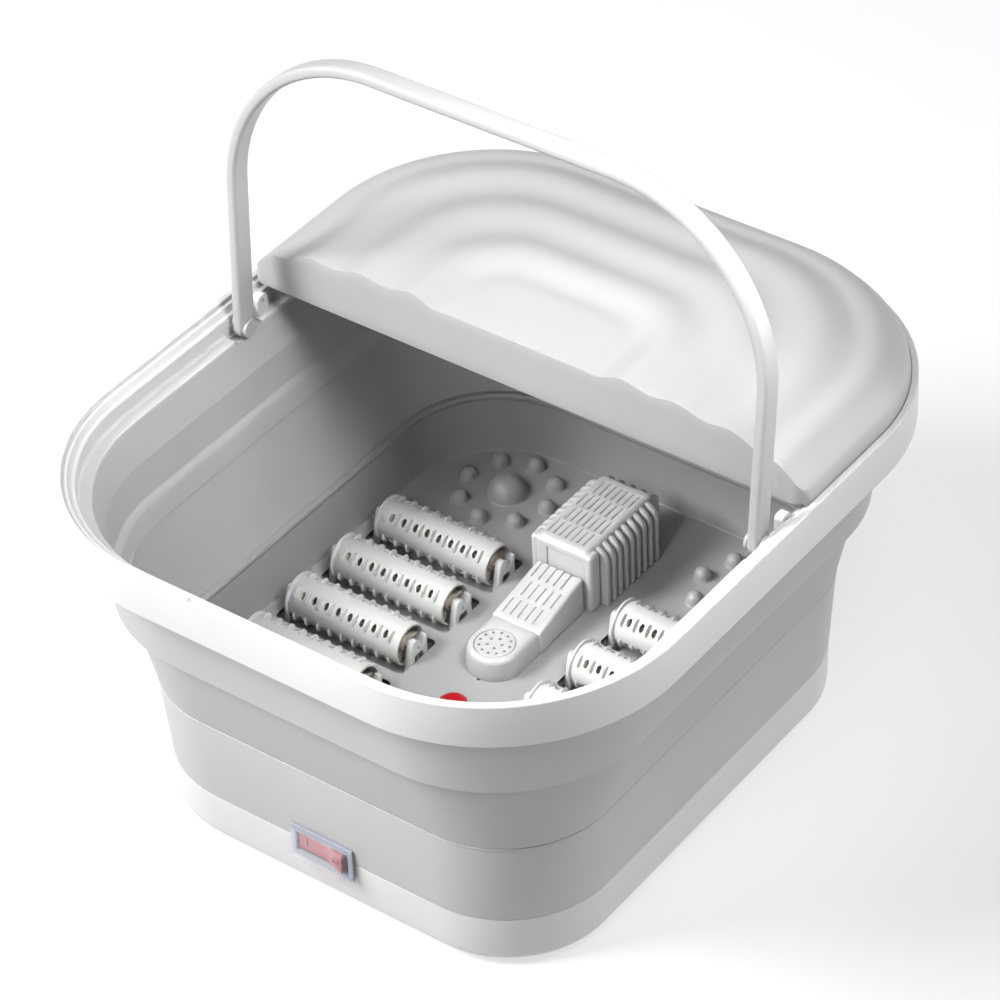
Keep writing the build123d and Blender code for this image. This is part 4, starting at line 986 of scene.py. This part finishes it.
def add_slots(bm, rows, columns, pitch_x, first_y, pitch_y, length, width, top, slope, depth, stagger):
    """Rows of narrow recesses along Y, each row shifted sideways from the last."""
    for row in range(rows):
        for column in range(columns):
            x = (column - (columns - 1) / 2) * pitch_x + (stagger if row % 2 else -stagger)
            y = first_y + row * pitch_y
            height = top + math.tan(slope) * (y - first_y)
            place = Matrix.Translation((x, y, height)) @ Matrix.Rotation(slope, 4, "X")
            size = Matrix.Diagonal((width, length, 2 * depth, 1))
            bmesh.ops.create_cube(bm, size=1, matrix=place @ size)


def build_ramp():
    half_x = high("ramp_cover").x
    length = TOWER_FRONT - 0.2 - RAMP_FRONT
    bm = bmesh.new()
    rear = TOWER_FRONT - 0.2
    side = [(RAMP_FRONT, FLOOR), (rear, FLOOR), (rear, RAMP_TOP), (RAMP_FRONT, NOSE_TOP)]
    faces = []
    for inset_side in (-1, 1):
        spots = []
        for y, z in side:
            lean = 0.5 if z > FLOOR else 0.0
            narrow = 1.2 * (y - RAMP_FRONT) / length
            spots.append(bm.verts.new((inset_side * (half_x - lean - narrow), y, z)))
        faces.append(spots)
    bm.faces.new(faces[0])
    bm.faces.new(faces[1][::-1])
    for i in range(4):
        bm.faces.new((faces[0][i - 1], faces[0][i], faces[1][i], faces[1][i - 1]))
    bmesh.ops.recalc_face_normals(bm, faces=bm.faces)
    made = mesh_object("ramp", bm)
    bevelled(made, 1.6, segments=4, angle=60.0)
    slope = math.atan2(RAMP_TOP - NOSE_TOP, length)
    tool = bmesh.new()
    first_y = RAMP_FRONT + 9.5
    add_slots(tool, 3, 5, 4.9, first_y, 13.2, 10.6, 1.5, NOSE_TOP + math.tan(slope) * 9.5, slope, 0.9, 1.3)
    combine(made, tool)
    bevelled(made, 0.3, segments=2, angle=60.0)
    return placed(made, "base", MODULE, "tub_grey", "ramp_cover")


def build_tower():
    """Finned tower with a slotted top panel and a framed front."""
    half_x = 18.5
    length = TOWER_REAR - TOWER_FRONT
    bm = bmesh.new()
    middle_y = (TOWER_FRONT + TOWER_REAR) / 2
    add_rounded_block(bm, half_x - 1.0, length / 2 - 1.0, 4.5,
                      [(0, FLOOR), (0, TOWER_TOP - 3.4), (0.5, TOWER_TOP - 1.8), (1.6, TOWER_TOP - 0.6),
                       (3.2, TOWER_TOP)],
                      (0, middle_y))
    made = mesh_object("tower_core", bm)
    tool = bmesh.new()
    add_slots(tool, 4, 7, 3.9, TOWER_FRONT + 12.5, 13.4, 11.4, 1.5, TOWER_TOP, 0.0, 0.45, 0.95)
    combine(made, tool)
    bevelled(made, 0.3, segments=2, angle=60.0)
    placed(made, "base", MODULE, "tub_grey", "heater_tower")
    build_tower_front()
    build_tower_fins()


def build_tower_front():
    """Two round-edged pillars, the lintel that joins them and the raised panel over the ramp."""
    bm = bmesh.new()
    depth = 9.0
    for side in (-1, 1):
        x_low, x_high = sorted((side * 15.2, side * 20.2))
        add_box(bm, (x_low, TOWER_FRONT, FLOOR), (x_high, TOWER_FRONT + depth, TOWER_TOP - 1.0))
    made = mesh_object("tower_pillars", bm)
    bevelled(made, 2.2, segments=5, angle=60.0)
    placed(made, "base", MODULE, "tub_grey", "heater_tower")
    lintel = bmesh.new()
    add_box(lintel, (-18.4, TOWER_FRONT + 0.35, RAMP_TOP - 6), (18.4, TOWER_FRONT + depth, TOWER_TOP - 0.9))
    made = mesh_object("tower_lintel", lintel)
    bevelled(made, 2.4, segments=5, angle=60.0)
    tool = bmesh.new()
    add_box(tool, (-9.5, TOWER_FRONT - 1, RAMP_TOP - 8), (13.5, TOWER_FRONT + 1.15, TOWER_TOP - 5.4))
    combine(made, tool)
    bevelled(made, 0.4, segments=2, angle=60.0)
    placed(made, "base", MODULE, "tub_grey", "heater_tower")


def build_tower_fins():
    fins, pitch, thick = 9, 5.8, 3.3
    out = high("heater_tower").x
    fin_top = TOWER_TOP - 1.2
    bm = bmesh.new()
    first_y = (TOWER_FRONT + TOWER_REAR) / 2 - (fins - 1) / 2 * pitch + 1.4
    for step in range(fins):
        for side in (-1, 1):
            root = Vector((side * 12.5, first_y + step * pitch))
            add_fin(bm, root, Vector((side, 0)), out - 12.5, thick, fin_top)
    for step in range(5):
        add_fin(bm, Vector(((step - 2) * 7.2, TOWER_REAR - 6)), Vector((0, 1)), 10.8, thick, fin_top)
    made = mesh_object("tower_fins", bm)
    bevelled(made, 0.9, segments=3, angle=50.0)
    placed(made, "base", MODULE, "tub_grey", "heater_tower")


def add_fin(bm, root, out, reach, thick, top):
    """Upright plate that leaves the tower at root and rounds down at its outer top."""
    across = Vector((-out.y, out.x)) * thick / 2
    round_x, round_z = 9.0, 8.0
    side = [(0, FLOOR), (reach, FLOOR)]
    for step in range(9):
        angle = math.pi / 2 * step / 8
        side.append((reach - round_x + round_x * math.cos(angle), top - round_z + round_z * math.sin(angle)))
    side.append((0, top))
    faces = []
    for sign in (-1, 1):
        faces.append([bm.verts.new((*(root + out * u + across * sign), z)) for u, z in side])
    bm.faces.new(faces[0])
    bm.faces.new(faces[1][::-1])
    for i in range(len(side)):
        bm.faces.new((faces[0][i - 1], faces[0][i], faces[1][i], faces[1][i - 1]))
    bmesh.ops.recalc_face_normals(bm, faces=bm.faces)


def build_lamp():
    low_z, high_z = low("lamp_gasket").z, high("lamp_lens").z
    centre = (high("lamp_lens") + low("lamp_lens")) / 2
    radius = high("lamp_lens").x
    bm = bmesh.new()
    profile = [(5.2, low("lamp_lens").z), (5.2, low_z + 0.6), (radius - 0.2, low_z + 0.65),
               (radius, low_z + 0.9)]
    for step in range(1, 9):
        share = step / 8
        height = low_z + 0.9 + (high_z - low_z - 0.9) * math.sin(math.pi / 2 * share)
        profile.append((radius * math.cos(math.pi / 2 * share * 0.97), height))
    add_turned(bm, profile, centre.x, centre.y, 56)
    made = mesh_object("lamp", bm, 50)
    return placed(made, "base", LENS, "red_lens", "lamp_lens")


# ---- switch -----------------------------------------------------------------------------------
def build_switch():
    front, back = low("switch_bezel").y, high("switch_bezel").y
    corner_a, corner_b = low("switch_bezel"), high("switch_bezel")
    centre_z = (corner_a.z + corner_b.z) / 2
    half_x, half_z = corner_b.x - 0.8, (corner_b.z - corner_a.z) / 2
    frame_mesh = frame_block(half_x, half_z, front + 0.9, front + 2.4, centre_z, 0.7, 17.0, 6.5)
    made = mesh_object("switch_frame", frame_mesh)
    bevelled(made, 0.25, segments=2, angle=50.0)
    placed(made, "base", BEZEL, "bezel_grey", "switch_bezel")
    sleeve_mesh = frame_block(half_x - 2.2, half_z - 2.2, front + 2.2, back, centre_z, 1.0, 17.0, 6.5)
    sleeve = mesh_object("switch_sleeve", sleeve_mesh)
    placed(sleeve, "base", BLACK, "bezel_grey", "switch_bezel")


def frame_block(half_x, half_z, front, back, centre_z, corner, window_x, window_z):
    """Rounded rectangular frame that faces -Y, with a rectangular window."""
    bm = bmesh.new()
    loops = [(half_x, half_z, corner, front), (half_x, half_z, corner, back),
             (window_x, window_z, 0.8, back), (window_x, window_z, 0.8, front)]
    rings = []
    for loop_x, loop_z, round_corner, y in loops:
        spots = outline(loop_x, loop_z, round_corner, 0)
        rings.append([bm.verts.new((p.x, y, centre_z + p.y)) for p in spots])
    for index in range(4):
        bridge(bm, rings[index - 1], rings[index])
    bmesh.ops.recalc_face_normals(bm, faces=bm.faces)
    return bm


def build_boot():
    """Clear flexible cover with a soft raised face, over the rocker."""
    corner_a, corner_b = low("switch_boot"), high("switch_boot")
    centre_z = (corner_a.z + corner_b.z) / 2
    half_x, half_z = corner_b.x, (corner_b.z - corner_a.z) / 2
    wall = 0.7
    bm = bmesh.new()
    rings = []
    outer = [(0, corner_b.y, 2.4), (0.3, corner_a.y + 2.6, 2.6), (1.1, corner_a.y + 0.9, 2.8),
             (2.8, corner_a.y, 2.8)]
    inner = [(inset + wall, y + (wall if index else 0), corner) for index, (inset, y, corner) in enumerate(outer)]
    for inset, y, corner in outer + inner[::-1]:
        spots = outline(half_x - inset, half_z - inset, corner, 0)
        rings.append([bm.verts.new((p.x, y, centre_z + p.y)) for p in spots])
    for index in range(len(rings)):
        if index != 4:
            bridge(bm, rings[index - 1], rings[index])
    bm.faces.new(rings[3])
    bm.faces.new(rings[4])
    bmesh.ops.recalc_face_normals(bm, faces=bm.faces)
    made = mesh_object("splash_cover", bm)
    return placed(made, "base", BOOT, "clear_cover", "switch_boot")


# ---- carried-over CAD nodes -------------------------------------------------------------------
CARRIED = {
    "bottom_cover": BASE_GREY, "body_screws": STEEL, "cover_screws": STEEL, "rubber_feet": RUBBER,
    "lamp_gasket": RUBBER, "lamp_board": BOARD, "switch_body": BLACK, "switch_terminals": BRASS,
    "rocker": ROCKER, "inlet_gland": BLACK, "inlet_nut": BLACK, "ptc_heater": ALUMINIUM,
    "thermostat": BLACK, "air_pump": BASE_GREY, "pump_mounts": RUBBER, "air_hose": RUBBER,
    "control_board": BOARD, "board_posts": BLACK, "terminal_block": BLACK, "wiring_harness": RUBBER,
    "handle_pins": HANDLE, "lid_clips": WHITE,
}


def dress_carried_nodes():
    for name, material in CARRIED.items():
        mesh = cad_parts[name].data
        mesh.materials.clear()
        mesh.materials.append(material)


# ---- studio -----------------------------------------------------------------------------------
def build_floor():
    bm = bmesh.new()
    bmesh.ops.create_grid(bm, x_segments=1, y_segments=1, size=6000)
    made = mesh_object("studio_floor", bm)
    made.location.z = -0.0002
    pale = plastic("floor_pale", (0.30, 0.30, 0.30), 0.9, grain=0.0, mottling=0.0)
    shader = pale.node_tree.nodes["Principled BSDF"]
    shader.inputs["Emission Color"].default_value = (1, 1, 1, 1)
    shader.inputs["Emission Strength"].default_value = 0.60
    made.data.materials.append(pale)


def area_light(name, spot, target, size, power, size_y=None):
    data = bpy.data.lights.new(name, "AREA")
    data.energy = power
    data.shape = "RECTANGLE"
    data.size = size
    data.size_y = size_y or size
    light = bpy.data.objects.new(name, data)
    light.location = spot
    light.rotation_mode = "QUATERNION"
    light.rotation_quaternion = (Vector(target) - Vector(spot)).to_track_quat("-Z", "Y")
    bpy.context.scene.collection.objects.link(light)
    return light


def build_lights():
    centre = Vector((0, 0, 0.12))
    for name, direction, distance, size, strength in (
            ("key_left", (-0.52, -0.54, 0.66), 2.4, 1.0, 2.0),
            ("over_rear", (0.10, 0.30, 0.95), 2.2, 0.9, 0.22),
            ("side_right", (0.72, 0.66, 0.22), 2.2, 1.2, 0.52)):
        spot = centre + Vector(direction).normalized() * distance
        area_light(name, spot, centre, size, strength * (math.pi * distance) ** 2)
    spot, target = Vector((0.30, -0.06, 0.66)), Vector((-0.13, -0.02, 0.13))
    inside = area_light("into_basin", spot, target, 0.22, 0.95)
    inside.data.spread = math.radians(78)
    inside.visible_camera = False
    spot, target = Vector((0.10, -0.55, 0.62)), Vector((-0.03, 0.09, 0.06))
    under = area_light("under_lid", spot, target, 0.20, 0.11)
    under.data.spread = math.radians(34)
    under.visible_camera = False
    world = bpy.data.worlds.new("studio_world")
    world.use_nodes = True
    background = world.node_tree.nodes["Background"]
    background.inputs["Color"].default_value = (1, 1, 1, 1)
    background.inputs["Strength"].default_value = 0.05
    bpy.context.scene.world = world
    bpy.context.scene.view_settings.view_transform = "Standard"


def build_camera():
    """Looks down into the basin over its right front corner."""
    yaw, pitch, roll = math.radians(37.99), math.radians(39.06), math.radians(-2.80)
    data = bpy.data.cameras.new("view")
    data.sensor_width = 36.0
    data.lens = 4.1994 * data.sensor_width
    data.clip_end = 50
    camera = bpy.data.objects.new("view", data)
    turn = Matrix.Rotation(yaw, 4, "Z") @ Matrix.Rotation(math.pi / 2 - pitch, 4, "X")
    turn = turn @ Matrix.Rotation(roll, 4, "Z")
    camera.matrix_world = Matrix.Translation((1.0483, -1.3379, 1.5396)) @ turn
    bpy.context.scene.collection.objects.link(camera)
    bpy.context.scene.camera = camera


build_camera()
build_lights()
build_floor()
build_base_shell()
build_mid_housing()
build_clamp_ring()
build_fold_wall()
build_upper_wall()
build_rim()
build_lid()
build_handle()
build_tub()
build_roller_wells()
build_domes()
build_rollers()
build_roller_clips()
build_nose()
build_grille()
build_ramp()
build_tower()
build_lamp()
build_switch()
build_boot()
dress_carried_nodes()
